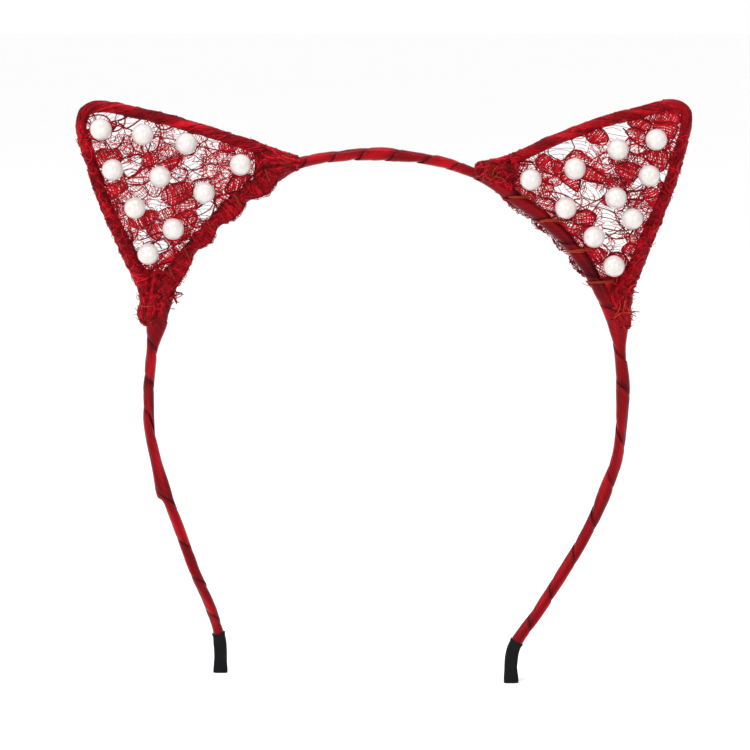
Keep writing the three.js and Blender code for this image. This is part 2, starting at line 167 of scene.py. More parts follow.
def ripples(rng, shortest, longest, count=7):
    """A smooth random function of two lengths, about -1 to 1."""
    heading = rng.uniform(0, 2 * math.pi, count)
    wave = 2 * math.pi / rng.uniform(shortest, longest, count)
    phase = rng.uniform(0, 2 * math.pi, count)

    def value(x, y):
        x, y = np.asarray(x, float)[..., None], np.asarray(y, float)[..., None]
        run = x * np.cos(heading) + y * np.sin(heading)
        return np.sin(wave * run + phase).sum(-1) * 1.5 / count

    return value


class Route:
    """A centripetal Catmull-Rom curve, measured along its length, with a frame at each place.

    The frame is the tangent, the direction to its left in the plane of the ears, and that behind.
    """

    def __init__(self, points, per_span=60):
        p = np.array(points, float)
        p = np.vstack([2 * p[0] - p[1], p, 2 * p[-1] - p[-2]])
        t = np.linspace(0, 1, per_span, endpoint=False)[:, None]
        spans = []
        for x0, x1, x2, x3 in zip(p, p[1:], p[2:], p[3:]):
            d0, d1, d2 = (math.sqrt(np.linalg.norm(step)) for step in (x1 - x0, x2 - x1, x3 - x2))
            m1 = ((x1 - x0) / d0 - (x2 - x0) / (d0 + d1) + (x2 - x1) / d1) * d1
            m2 = ((x2 - x1) / d1 - (x3 - x1) / (d1 + d2) + (x3 - x2) / d2) * d1
            spans.append(
                (2 * t**3 - 3 * t**2 + 1) * x1 + (t**3 - 2 * t**2 + t) * m1
                + (3 * t**2 - 2 * t**3) * x2 + (t**3 - t**2) * m2
            )
        self.points = np.vstack(spans + [p[-2:-1]])
        steps = np.linalg.norm(np.diff(self.points, axis=0), axis=1)
        self.along = np.concatenate([[0], np.cumsum(steps)])
        self.length = float(self.along[-1])

    def at(self, s):
        return np.stack([np.interp(s, self.along, self.points[:, k]) for k in range(3)], axis=-1)

    def frame(self, s, reach=0.8):
        s = np.asarray(s, float)
        after, before = np.minimum(s + reach, self.length), np.maximum(s - reach, 0)
        tangent = unit(self.at(after) - self.at(before))
        left = unit(np.stack([-tangent[..., 2], 0 * s, tangent[..., 0]], axis=-1))
        return self.at(s), tangent, left, np.cross(left, tangent)

    def nearest(self, x, z):
        gaps = np.hypot(self.points[:, 0] - x, self.points[:, 2] - z)
        return float(self.along[gaps.argmin()])

    def around(self, s, angle, left_reach, back_reach):
        """Points round the route: angle 0 is to its left, and 90 degrees behind."""
        centre, _, left, back = self.frame(s)
        wide = (left_reach * np.cos(angle))[..., None] * left
        return centre + wide + (back_reach * np.sin(angle))[..., None] * back


def leg_depth(x, z):
    run = min(max((TWIST_TOP - z) / TWIST_LENGTH, 0), 1)
    return -math.copysign(LEG_TWIST, x) * run * run


band = Route([(x, leg_depth(x, z), z) for x, z in BAND_POINTS])
band_middle = band.nearest(0, 1.7)


def band_place(height, side):
    """How far along the band it reaches a height, on one side of the crown."""
    inside = band.along < band_middle if side == "left" else band.along > band_middle
    gaps = np.where(inside, np.abs(band.points[:, 2] - height), 1e9)
    return float(band.along[gaps.argmin()])


# ---------------------------------------------------------------- meshes


class Piece:
    """Gathers closed skins into one mesh, with a UV map in millimetres and a tone for colour."""

    def __init__(self):
        self.points, self.quads, self.maps, self.tones, self.kinds = [], [], [], [], []
        self.count = 0

    def skin(self, rings, u, v, tone=0.5, endless=False, kind=0):
        """Adds skins over stacks of rings: rings is (skins, rows, columns, 3), u is per row or per
        point, v per column and once more for the column that closes the ring."""
        skins, rows, columns = rings.shape[:3]
        u = np.broadcast_to(u, (skins, rows, columns))
        tone = np.broadcast_to(tone, (skins, rows, columns))
        v = np.asarray(v, float)
        last = rows if endless else rows - 1
        i, j = (x.ravel() for x in np.meshgrid(np.arange(last), np.arange(columns), indexing="ij"))
        i_next, j_next = (i + 1) % rows, (j + 1) % columns
        corner_rows = np.stack([i, i, i_next, i_next], axis=1)
        corner_columns = np.stack([j, j_next, j_next, j], axis=1)
        corner_v = np.stack([v[j], v[j + 1], v[j + 1], v[j]], axis=1)
        if not endless:
            k = np.arange(columns // 2 - 1)
            cap = np.stack([k, k + 1, columns - 2 - k, columns - 1 - k], axis=1)
            for row, order in ((0, slice(None, None, -1)), (rows - 1, slice(None))):
                corner_rows = np.vstack([corner_rows, np.full_like(cap, row)])
                corner_columns = np.vstack([corner_columns, cap[:, order]])
                corner_v = np.vstack([corner_v, v[cap[:, order]]])
        quads = corner_rows * columns + corner_columns
        starts = np.arange(skins)[:, None, None] * (rows * columns)
        flat = rings.reshape(-1, 3)
        corner_u = u.reshape(skins, -1)[:, quads]
        maps = np.stack([corner_u, np.broadcast_to(corner_v, corner_u.shape)], axis=-1)
        quads = (quads[None] + starts).reshape(-1, 4)
        if self.volume(rings[0].reshape(-1, 3), quads[: len(quads) // skins]) < 0:
            quads, maps = quads[:, ::-1], maps[:, :, ::-1]
        self.quads.append(quads + self.count)
        self.maps.append(maps.reshape(-1, 2))
        self.points.append(flat)
        self.tones.append(tone.reshape(-1))
        self.kinds.append(np.full(len(quads), kind))
        self.count += len(flat)

    @staticmethod
    def volume(points, quads):
        a, b, c, d = (points[quads[:, k]] - points.mean(0) for k in range(4))
        return (a * (np.cross(b, c) + np.cross(c, d))).sum()

    def threads(self, strands, sides=4):
        """Adds round capped threads: each strand is (points, radius, tone)."""
        by_count = {}
        for points, radius, tone in strands:
            by_count.setdefault(len(points), []).append((points, radius, tone))
        angle = np.arange(sides) * 2 * math.pi / sides
        for group in by_count.values():
            p = np.stack([g[0] for g in group])
            radius = np.array([g[1] for g in group])[:, None, None, None]
            tone = np.array([g[2] for g in group])[:, None, None]
            run = unit(np.gradient(p, axis=1))
            depth = np.broadcast_to(BACK, run.shape)
            turned = np.where(np.abs(run[..., 1:2]) > 0.95, np.array([1.0, 0.0, 0.0]), depth)
            side = unit(np.cross(run, turned))
            up = np.cross(side, run)
            rings = p[:, :, None] + radius * (
                np.cos(angle)[:, None] * side[:, :, None] + np.sin(angle)[:, None] * up[:, :, None]
            )
            steps = np.linalg.norm(np.diff(p, axis=1), axis=-1)
            u = np.concatenate([np.zeros((len(p), 1)), np.cumsum(steps, axis=1)], axis=1)
            self.skin(rings, u[:, :, None], np.arange(sides + 1) * 1.2 / sides, tone)

    def build(self, name, materials, slot, body, replaces):
        mesh = bpy.data.meshes.new(name)
        points, quads = np.vstack(self.points) * MM, np.vstack(self.quads)
        mesh.vertices.add(len(points))
        mesh.vertices.foreach_set("co", points.astype(np.float32).ravel())
        mesh.loops.add(quads.size)
        mesh.loops.foreach_set("vertex_index", quads.astype(np.int32).ravel())
        mesh.polygons.add(len(quads))
        mesh.polygons.foreach_set("loop_start", np.arange(0, quads.size, 4, dtype=np.int32))
        mesh.polygons.foreach_set("use_smooth", np.ones(len(quads), bool))
        weave = mesh.uv_layers.new(name="Weave")
        weave.data.foreach_set("uv", np.vstack(self.maps).astype(np.float32).ravel())
        tone = mesh.attributes.new("tone", "FLOAT", "POINT")
        tone.data.foreach_set("value", np.concatenate(self.tones).astype(np.float32))
        mesh.update(calc_edges=True)
        mesh.validate()
        for each in materials:
            mesh.materials.append(each)
        if len(materials) > 1:
            mesh.polygons.foreach_set("material_index", np.concatenate(self.kinds).astype(np.int32))
        obj = bpy.data.objects.new(name, mesh)
        bpy.context.scene.collection.objects.link(obj)
        if isinstance(body, str):
            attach(obj, body)
        else:
            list(body)
            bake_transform(obj)
        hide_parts(*replaces)
        return obj


# ---------------------------------------------------------------- materials


def linear(red, green, blue):
    """Linear colour of an sRGB one given from 0 to 255."""
    return tuple(((c / 255 + 0.055) / 1.055) ** 2.4 for c in (red, green, blue)) + (1.0,)


class Shader:
    """A Principled material, with a short way to add nodes to it."""

    def __init__(self, name, **sockets):
        self.material = bpy.data.materials.new(name)
        self.material.use_nodes = True
        self.tree = self.material.node_tree
        self.surface = self.tree.nodes["Principled BSDF"]
        for socket, value in sockets.items():
            self.surface.inputs[socket.replace("_", " ")].default_value = value

    def node(self, kind, values=(), **settings):
        node = self.tree.nodes.new("ShaderNode" + kind)
        for setting, value in settings.items():
            setattr(node, setting, value)
        for socket, value in dict(values).items():
            if isinstance(value, bpy.types.NodeSocket):
                self.tree.links.new(value, node.inputs[socket])
            else:
                node.inputs[socket].default_value = value
        return node

    def tone(self):
        """The tone that each point of the mesh carries, from 0 to 1."""
        return self.node("Attribute", attribute_name="tone").outputs["Fac"]

    def place(self):
        return self.node("TexCoord").outputs["Object"]

    def weave(self, along, across):
        """The piece's own UV map, scaled, for threads that run along u."""
        uv = self.node("UVMap", uv_map="Weave").outputs["UV"]
        return self.scaled(uv, (along, across, 1.0))

    def scaled(self, vector, scale):
        return self.node("Mapping", {"Vector": vector, "Scale": scale}).outputs["Vector"]

    def wave(self, vector, scale, distortion, direction):
        values = {"Vector": vector, "Scale": scale, "Distortion": distortion}
        return self.node("TexWave", values, bands_direction=direction).outputs["Fac"]

    def noise(self, vector, scale, detail=3.0):
        values = {"Vector": vector, "Scale": scale, "Detail": detail, "Roughness": 0.6}
        return self.node("TexNoise", values).outputs["Fac"]

    def object_noise(self, scale, detail=3.0):
        return self.noise(self.place(), scale, detail)

    def ramp(self, factor, *stops):
        """Colours along a factor: each stop is (place, colour), or (place, grey)."""
        node = self.node("ValToRGB", {"Fac": factor})
        elements = node.color_ramp.elements
        while len(elements) < len(stops):
            elements.new(0.5)
        for element, (place, colour) in zip(elements, stops):
            element.position = place
            element.color = colour if isinstance(colour, tuple) else (colour, colour, colour, 1)
        return node.outputs["Color"]

    def maths(self, operation, a, b):
        return self.node("Math", {0: a, 1: b}, operation=operation).outputs["Value"]

    def blend(self, a, b, share):
        """share of b over a, both numbers."""
        low, high = self.maths("MULTIPLY", a, 1 - share), self.maths("MULTIPLY", b, share)
        return self.maths("ADD", low, high)

    def bump(self, height, strength, distance, under=None):
        values = {"Height": height, "Strength": strength, "Distance": distance}
        if under is not None:
            values["Normal"] = under
        return self.node("Bump", values).outputs["Normal"]

    def connect(self, **sockets):
        for socket, value in sockets.items():
            self.tree.links.new(value, self.surface.inputs[socket.replace("_", " ")])


RED_TINT = (1.0, 0.12, 0.18, 1.0)


def satin_material():
    """Woven satin: fine ribs along the ribbon and long streaks, with painted shadow and highlight
    from the mesh's tone, darker where a turn goes under.
    """
    s = Shader("satin_ribbon", Specular_IOR_Level=0.9, IOR=1.32, Specular_Tint=RED_TINT,
               Anisotropic=0.4)
    streaks = s.noise(s.weave(0.12, 2.2), 1.0, 4.0)
    ribs = s.wave(s.weave(0.02, 1.0), 1.3, 0.4, "Y")
    s.connect(
        Base_Color=s.ramp(
            s.blend(s.tone(), streaks, 0.3),
            (0.05, linear(10, 0, 1)), (0.34, linear(58, 1, 3)),
            (0.62, linear(104, 2, 6)), (0.85, linear(148, 8, 16)),
        ),
        Roughness=s.ramp(streaks, (0.2, 0.16), (0.8, 0.36)),
        Normal=s.bump(ribs, 0.16, 0.00002, s.bump(streaks, 0.4, 0.0003)),
        Tangent=s.node("Tangent", direction_type="UV_MAP", uv_map="Weave").outputs["Tangent"],
    )
    return s.material


def thread_material(name, stops, roughness, twist, sheen, sheen_tint):
    """Plied thread: a slanted twist along each strand, and a tone of each strand's own."""
    s = Shader(name, Roughness=roughness, Sheen_Weight=sheen, Sheen_Roughness=0.45,
               Sheen_Tint=sheen_tint, Specular_IOR_Level=0.9, IOR=1.32, Specular_Tint=sheen_tint)
    plies = s.wave(s.weave(1.0, 1.0), twist, 0.6, "DIAGONAL")
    mottle = s.object_noise(420.0)
    s.connect(
        Base_Color=s.ramp(s.blend(s.blend(s.tone(), mottle, 0.3), plies, 0.12), *stops),
        Normal=s.bump(plies, 0.5, 0.00004, s.bump(mottle, 0.3, 0.0001)),
    )
    return s.material


def cloth_material():
    """Lace folded over itself until it is opaque: small pits between threads that run all ways."""
    s = Shader("lace_cloth", Roughness=0.55, Sheen_Weight=0.04, Sheen_Roughness=0.5,
               Sheen_Tint=(1.0, 0.1, 0.14, 1.0),
               Specular_IOR_Level=0.7, IOR=1.32, Specular_Tint=RED_TINT)
    place = s.place()
    swirl = s.node("TexNoise", {"Vector": place, "Scale": 500.0, "Detail": 2.0}).outputs["Color"]
    bent = s.node("Mix", {0: 0.0009, 6: place, 7: swirl}, data_type="RGBA", blend_type="ADD")
    cracks = {"Vector": bent.outputs[2], "Scale": 1700.0}
    threads = s.node("TexVoronoi", cracks, feature="DISTANCE_TO_EDGE")
    pits = s.ramp(threads.outputs["Distance"], (0.0, 1.0), (0.35, 0.0))
    mottle = s.object_noise(900.0)
    s.connect(
        Base_Color=s.ramp(
            s.blend(s.blend(s.tone(), pits, 0.3), mottle, 0.25),
            (0.16, linear(20, 0, 2)), (0.42, linear(104, 4, 11)), (0.7, linear(182, 17, 29)),
        ),
        Normal=s.bump(pits, 0.8, 0.00018, s.bump(mottle, 0.4, 0.0002)),
    )
    return s.material


def pearl_material():
    """Pearl lacquer: a warm cloudy body under a clear, strongly reflecting coat."""
    s = Shader("imitation_pearl",
               Specular_IOR_Level=0.5, Specular_Tint=(1.0, 0.97, 0.96, 1.0), IOR=1.6,
               Coat_Weight=1.0, Coat_Roughness=0.13, Coat_IOR=1.7,
               Subsurface_Weight=0.3, Subsurface_Scale=0.0008, Subsurface_Radius=(1.0, 0.75, 0.6))
    cloud, grain = s.object_noise(650.0, 2.0), s.object_noise(2600.0, 4.0)
    s.connect(
        Base_Color=s.ramp(cloud, (0.3, linear(184, 177, 174)), (0.75, linear(200, 194, 191))),
        Roughness=s.ramp(grain, (0.3, 0.26), (0.7, 0.36)),
        Normal=s.bump(grain, 0.06, 0.00003),
    )
    return s.material


def sleeve_material():
    """Matte black shrunk sleeve, with dull patches and a faint grain."""
    s = Shader("black_sleeve", Specular_IOR_Level=0.08)
    patches, grain = s.object_noise(260.0), s.object_noise(2400.0, 5.0)
    s.connect(
        Base_Color=s.ramp(patches, (0.3, linear(9, 9, 11)), (0.75, linear(20, 20, 23))),
        Roughness=s.ramp(grain, (0.25, 0.62), (0.8, 0.85)),
        Normal=s.bump(grain, 0.35, 0.00005, s.bump(patches, 0.4, 0.0003)),
    )
    return s.material


def steel_material():
    """Drawn spring wire: fine scratches along its length and a light tarnish."""
    s = Shader("spring_steel", Metallic=1.0)
    drawn = s.noise(s.scaled(s.place(), (900.0, 900.0, 60.0)), 1.0)
    s.connect(
        Base_Color=s.ramp(drawn, (0.3, linear(120, 118, 116)), (0.8, linear(186, 187, 190))),
        Roughness=s.ramp(drawn, (0.3, 0.28), (0.8, 0.5)),
        Normal=s.bump(drawn, 0.2, 0.00002),
    )
    return s.material


SATIN = satin_material()
LACE = thread_material(
    "lace_thread",
    [(0.1, linear(30, 0, 2)), (0.38, linear(94, 2, 8)), (0.62, linear(152, 8, 18)),
     (0.9, linear(208, 24, 38))],
    0.42, 1.6, 0.04, (1.0, 0.13, 0.2, 1.0),
)
LASHING = thread_material(
    "sewing_thread",
    [(0.1, linear(66, 14, 6)), (0.5, linear(132, 38, 18)), (0.9, linear(180, 66, 34))],
    0.5, 1.1, 0.12, (1.0, 0.4, 0.2, 1.0),
)
FINE_THREAD = thread_material(
    "fine_thread",
    [(0.1, linear(60, 6, 12)), (0.5, linear(118, 14, 24)), (0.9, linear(150, 28, 38))],
    0.55, 1.4, 0.12, (1.0, 0.1, 0.15, 1.0),
)
CLOTH = cloth_material()
PEARL = pearl_material()
SLEEVE = sleeve_material()
STEEL = steel_material()

# ---------------------------------------------------------------- camera, floor and light


def make_stage():
    camera = bpy.data.objects.new("camera", bpy.data.cameras.new("camera"))
    bpy.context.scene.collection.objects.link(camera)
    camera.data.lens = 126.5
    camera.data.sensor_width = 36
    camera.location = (-0.0032, -0.730, 0.0364)
    camera.rotation_euler = (math.radians(90 - 7.5), 0, 0)
    camera.data.clip_start, camera.data.clip_end = 0.01, 100
    bpy.context.scene.camera = camera

    half = 80.0
    signs = ((-1, -1), (1, -1), (1, 1), (-1, 1))
    corners = [(half * x, half * y, TIP_HEIGHT * MM) for x, y in signs]
    mesh = bpy.data.meshes.new("floor")
    mesh.from_pydata(corners, [], [(0, 1, 2, 3)])
    paper = Shader("pale_floor", Roughness=0.8, Specular_IOR_Level=0.2)
    paper.connect(Base_Color=paper.ramp(paper.object_noise(3.0), (0.3, 0.975), (0.7, 0.985)))
    mesh.materials.append(paper.material)
    floor = bpy.data.objects.new("floor", mesh)
    bpy.context.scene.collection.objects.link(floor)

    world = bpy.data.worlds.new("studio")
    bpy.context.scene.world = world
    world.use_nodes = True
    world.node_tree.nodes["Background"].inputs["Color"].default_value = (1.0, 1.0, 1.0, 1)
    world.node_tree.nodes["Background"].inputs["Strength"].default_value = 1.0
    bpy.context.scene.view_settings.view_transform = "Standard"


def add_light(name, place, target, size, power, colour=(1, 1, 1)):
    data = bpy.data.lights.new(name, "AREA")
    data.energy, data.color = power, colour
    if isinstance(size, tuple):
        data.shape, (data.size, data.size_y) = "RECTANGLE", size
    else:
        data.shape, data.size = "DISK", size
    light = bpy.data.objects.new(name, data)
    light.location = place
    light.rotation_euler = (Vector(target) - Vector(place)).to_track_quat("-Z", "Y").to_euler()
    bpy.context.scene.collection.objects.link(light)


make_stage()
add_light("key", (-0.75, -0.5, 0.7), (0, 0, -0.04), 0.5, 5.5, (1.0, 0.985, 0.96))
add_light("top", (0.0, -0.3, 0.9), (0, 0, 0), 0.22, 3.4)
add_light("window left", (-0.38, -0.9, 0.1), (0, 0, 0), (0.32, 0.6), 1.6)
add_light("window right", (0.38, -0.9, 0.1), (0, 0, 0), (0.32, 0.6), 1.4)

# ---------------------------------------------------------------- satin ribbon

RIBBON_WIDTH = 10.0  # as cut
RIBBON_CLOTH = 0.14
RIBBON_OVERLAP = 4.8  # along the band, of each turn over the one before
RIBBON_COLUMNS = 18
ROWS_PER_TURN = 52
TURN_ON_MAP = 14.0  # length of one turn in the UV map
FRONT = -math.pi / 2
# At these seams the painted shadow under the free edge is also wider.
HOLLOW_SEAMS = (5, 6, 25, 26)  # where the free edge stands off the turn below

seams = np.array([band.nearest(x, z) for x, z in SEAM_POINTS])
seam_turns = np.arange(len(seams), dtype=float)


def edge_place(turn):
    """Where along the band the ribbon's free edge is, at a number of turns past the first seam."""
    return np.interp(turn, seam_turns, seams)


def ribbon_section(s):
    """Half-widths of the winding, in the plane of the ears and in depth, and a shift outward."""
    height, left = np.interp(s, band.along, band.points[:, 2]), s < band_middle
    x = np.interp(s, band.along, band.points[:, 0])

    def bulge(value, middle, reach):
        return np.exp(-(((value - middle) / reach) ** 2))

    wedge = ease(height, -54.0, -44.0) * ease(height, -30.0, -38.0)
    base = ease(height, -44.0, -38.0) * ease(height, -4.0, -9.0) * ~left
    hook = bulge(height, -93.2, 6.0) * ease(height, -94.8, -93.8) * left
    belly = bulge(x, -1.5, 6.0) * (height > -10)
    on_leg = ease(height, -37.0, -44.0)
    right_leg = ~left * on_leg
    low = right_leg * (0.3 * bulge(height, -63, 6) + 0.25 * bulge(height, -93, 6) + 0.12)
    wide = RIBBON_RADIUS + 1.3 * wedge * (1 - base) + 0.45 * base + 0.65 * hook + 0.35 * belly + low
    deep = RIBBON_RADIUS + 0.2 * wedge + 0.2 * base + 0.1 * belly + 0.5 * low
    shift = right_leg * (1.2 * wedge + 0.6 * bulge(height, -83, 6) - 0.7 * bulge(height, -135, 5))
    shift += 0.55 * hook
    shift += left * on_leg * (0.45 * bulge(height, -117, 8) - 0.4 * wedge)
    return wide, deep, shift


def build_ribbon(part, start, end, body, seed):
    """One helical strip of satin, between two places along the band."""
    rng = np.random.default_rng(seed)
    creases, drift = ripples(rng, 1.1, 3.4, 9), ripples(rng, 7.0, 18.0)
    pleats = ripples(rng, 1.6, 3.6, 8)
    place_turns = np.interp([start, end], seams, seam_turns)
    first, last = place_turns[0] - 1.4, place_turns[1] + 0.4
    turns = np.linspace(first, last, int((last - first) * ROWS_PER_TURN))
    share = np.linspace(0, 1, RIBBON_COLUMNS)
    edge = edge_place(turns)[:, None]
    cover = edge_place(turns + 1)[:, None]
    s = edge + share * (cover - edge + RIBBON_OVERLAP)
    angle = np.broadcast_to((FRONT + 2 * math.pi * turns)[:, None], s.shape)
    keep = ((s > start) & (s < end)).any(axis=1)
    s = np.clip(s, start, end)
    run = turns[:, None] * TURN_ON_MAP + 0 * s
    across = share * RIBBON_WIDTH + 0 * s

    # Just past the front the free edge stands off the turn below, more at some turns than others;
    # the painted shadow under it widens there too.
    off_front = turns - np.round(turns)
    looseness = rng.uniform(0.15, 1.0, 80)
    looseness[np.array(HOLLOW_SEAMS) + 10] = 1.6
    loose = looseness[np.round(turns).astype(int) + 10]
    gap = (loose * np.exp(-(((off_front - rng.uniform(0.02, 0.1)) / 0.13) ** 2)))[:, None]
    fold = pleats(s * 0.13, np.cos(angle) * 2.1)
    tuck = 0.26 * ease(s - cover, -3.5, 0.6) + (0.06 - 0.34 * gap) * (1 - ease(share, 0, 0.16))
    lift = 0.05 * creases(run * 0.12, across) + 0.14 * fold + 0.13 * drift(s, angle * 2)
    lift = lift - tuck + 0.06

    height = band.at(s)[..., 2]
    # Painted shadow: darker just before the next turn's free edge, wider where that edge stands
    # off, and darker on the part that goes under; pleats are painted darker in their hollows and
    # lighter on their crests.
    shadow = 0.6 * np.exp(-(((s - cover) / (0.3 + 1.1 * gap)) ** 2))
    shadow = shadow + 0.35 * ease(s - cover, -0.1, 0.3) - 0.25 * fold
    # Painted shade: the ribbon is darker where the lace of the feet hangs over it, near the ear
    # bases.
    painted_shade_under_lace = 0.16 * ease(height, -42, -38) * ease(height, -4, -9)
    painted_shade_under_lace = painted_shade_under_lace + 0.2 * ease(height, -39, -36) * ease(height, -24, -30)
    # Painted highlight: a little lighter on top of the crown; the rest of this tone varies at
    # random.
    light = 0.66 + 0.06 * ease(height, -6, -1) + 0.16 * drift(run * 0.5, across)
    # Painted shade: a narrow dark line along the ribbon's free edge.
    tone = light - painted_shade_under_lace - shadow - 0.18 * np.exp(-((across / 0.3) ** 2))

    wide, deep, shift = ribbon_section(s)
    outward = shift[..., None] * band.frame(s)[2]
    outer, inner = (
        outward + band.around(s, angle, wide + off, deep + off)
        for off in (lift, lift - RIBBON_CLOTH)
    )
    piece = Piece()
    rings, u, tones = (
        np.concatenate([front, back[:, ::-1]], axis=1)[keep][None]
        for front, back in ((outer, inner), (run, run), (tone, tone))
    )
    piece.skin(rings, u, np.concatenate([share, share[::-1], [0]]) * RIBBON_WIDTH, tones)
    obj = piece.build(f"ribbon_{part}", [SATIN], "satin_ribbon", body, [f"ribbon_wrap_{part}"])
    steps = np.diff(outer[keep][:, RIBBON_COLUMNS // 2], axis=0)


JOIN_HEIGHT = -44.0  # the strips meet under the lace of the outer feet, and of the inner feet
CROWN_END_HEIGHTS = {"left": -1.6, "right": -4.6}
BEND_HEIGHTS = (-47.0, -61.0)  # heights round each leg's hinge; they go along with the leg's strip but nothing bends it


def build_ribbons():
    joins = {side: band_place(JOIN_HEIGHT, side) for side in EARS}
    ends = {side: band_place(CROWN_END_HEIGHTS[side], side) for side in EARS}
    spans = {
        "crown": (ends["left"], ends["right"], CROWN),
        "left_ear_base": (joins["left"], ends["left"], CROWN),
        "right_ear_base": (ends["right"], joins["right"], CROWN),
    }
    for side, leg in (("left", LEFT_LEG), ("right", RIGHT_LEG)):
        bend = [Vector(band.at(band_place(height, side))) * MM for height in BEND_HEIGHTS]
        span = sorted((band_place(CAP_MOUTH_HEIGHT - 0.6, side), joins[side]))
        spans[f"{side}_leg"] = (*span, (CROWN, leg, *bend))
    for seed, (part, (start, end, body)) in enumerate(spans.items(), start=40):
        build_ribbon(part, start, end, body, seed)


build_ribbons()

# ---------------------------------------------------------------- lace pattern
#
# Lace is drawn on a flat rectangle as strands, (points, radius, lift, tone), and then laid on a
# surface. The rectangle is tiled by crooked leaf-like cells. Each cell has a corded outline, and is
# left open with a little net, or hatched by parallel threads.

OPEN, SPARSE, HATCHED, SOLID = range(4)
HATCH_PITCH = {SPARSE: 0.56, HATCHED: 0.4, SOLID: 0.31}
HATCH_RADIUS = {SPARSE: 0.09, HATCHED: 0.125, SOLID: 0.15}
HATCH_POINTS = 5
CELL_SPACING, CELL_STRETCH, CELL_WARP = 3.9, 1.7, 1.3


def clip(polygon, point, outward):
    """The part of a polygon that isn't beyond a line through point."""
    beyond = (polygon - point) @ outward
    kept = []
    for a, b, over_a, over_b in zip(polygon, np.roll(polygon, -1, 0), beyond, np.roll(beyond, -1)):
        if over_a <= 0:
            kept.append(a)
        if (over_a <= 0) != (over_b <= 0):
            kept.append(a + (b - a) * over_a / (over_a - over_b))
    return np.array(kept)


def cells(rng, low, high, heading):
    """Cells that tile a rectangle, each nearest to one point of a shaken brick pattern."""
    cosine, sine = math.cos(heading), math.sin(heading)
    turn = np.array([[cosine, sine], [-sine, cosine]])
    squeeze = np.array([CELL_STRETCH, 1.0])
    middle, reach = (low + high) / 2, np.linalg.norm(high - low) / 2 + 2 * CELL_SPACING
    steps = int(reach / CELL_SPACING) + 1
    rows, columns = np.mgrid[-steps : steps + 1, -steps : steps + 1]
    seeds = np.stack([(columns + 0.5 * (rows % 2)).ravel(), rows.ravel()], axis=1) * CELL_SPACING
    seeds = seeds + rng.uniform(-0.34, 0.34, seeds.shape) * CELL_SPACING
    found = []
    for seed in seeds:
        world = (seed * squeeze) @ turn + middle
        if (world < low - CELL_SPACING).any() or (world > high + CELL_SPACING).any():
            continue
        gaps = np.linalg.norm(seeds - seed, axis=1)
        box = np.array([(-1, -1), (1, -1), (1, 1), (-1, 1)]) * CELL_SPACING * 1.5 + seed
        for other in seeds[np.argsort(gaps)[1:15]]:
            box = clip(box, (seed + other) / 2, unit(other - seed))
        found.append((box * squeeze) @ turn + middle)
    return found


def rounded(polygon, count):
    """A closed polygon with its corners eased, as a closed line of count points."""
    for _ in range(2):
        after = np.roll(polygon, -1, 0)
        near, far = polygon * 0.85 + after * 0.15, polygon * 0.15 + after * 0.85
        polygon = np.stack([near, far], 1).reshape(-1, 2)
    return resampled(np.vstack([polygon, polygon[:1]]), count)


def resampled(line, count):
    """The same line, as count points at even distances."""
    steps = np.concatenate([[0], np.cumsum(np.linalg.norm(np.diff(line, axis=0), axis=1))])
    at = np.linspace(0, steps[-1], count)
    return np.stack([np.interp(at, steps, line[:, k]) for k in range(line.shape[1])], axis=1)


def hatch(rng, polygon, heading, pitch, ragged=0.12):
    """Parallel lines across a polygon, each bowed a little."""
    run = np.array([math.cos(heading), math.sin(heading)])
    across = np.array([-run[1], run[0]])
    reach = polygon @ across
    lines, curve = [], rng.uniform(-0.14, 0.14)
    for offset in np.arange(reach.min() + pitch * rng.uniform(0.2, 0.8), reach.max(), pitch):
        offset += rng.uniform(-0.2, 0.2) * pitch
        a, b = reach - offset, np.roll(reach, -1) - offset
        crossing = (a < 0) != (b < 0)
        if crossing.sum() < 2:
            continue
        after = np.roll(polygon, -1, 0)
        share = (a[crossing] / (a[crossing] - b[crossing]))[:, None]
        hits = polygon[crossing] + (after[crossing] - polygon[crossing]) * share
        hits = hits[np.argsort(hits @ run)]
        for start, end in zip(hits[::2], hits[1::2]):
            length = np.linalg.norm(end - start)
            if length < 0.5:
                continue
            first, last = -ragged * rng.random() / 2, 1 + ragged * rng.random() / 2
            share = np.linspace(first, last, HATCH_POINTS)[:, None]
            bow = (rng.uniform(-0.4, 0.4) * pitch + curve * length) * np.sin(np.pi * share)
            lines.append(start + (end - start) * share + bow * across)
    return lines


def is_within(points, sides):
    """Which points lie inside all the sides."""
    within = np.ones(len(points), bool)
    for line, outward in sides:
        nearest = np.linalg.norm(points[:, None] - line[None], axis=-1).argmin(axis=1)
        within &= ((points - line[nearest]) * outward[nearest]).sum(-1) < 0
    return within


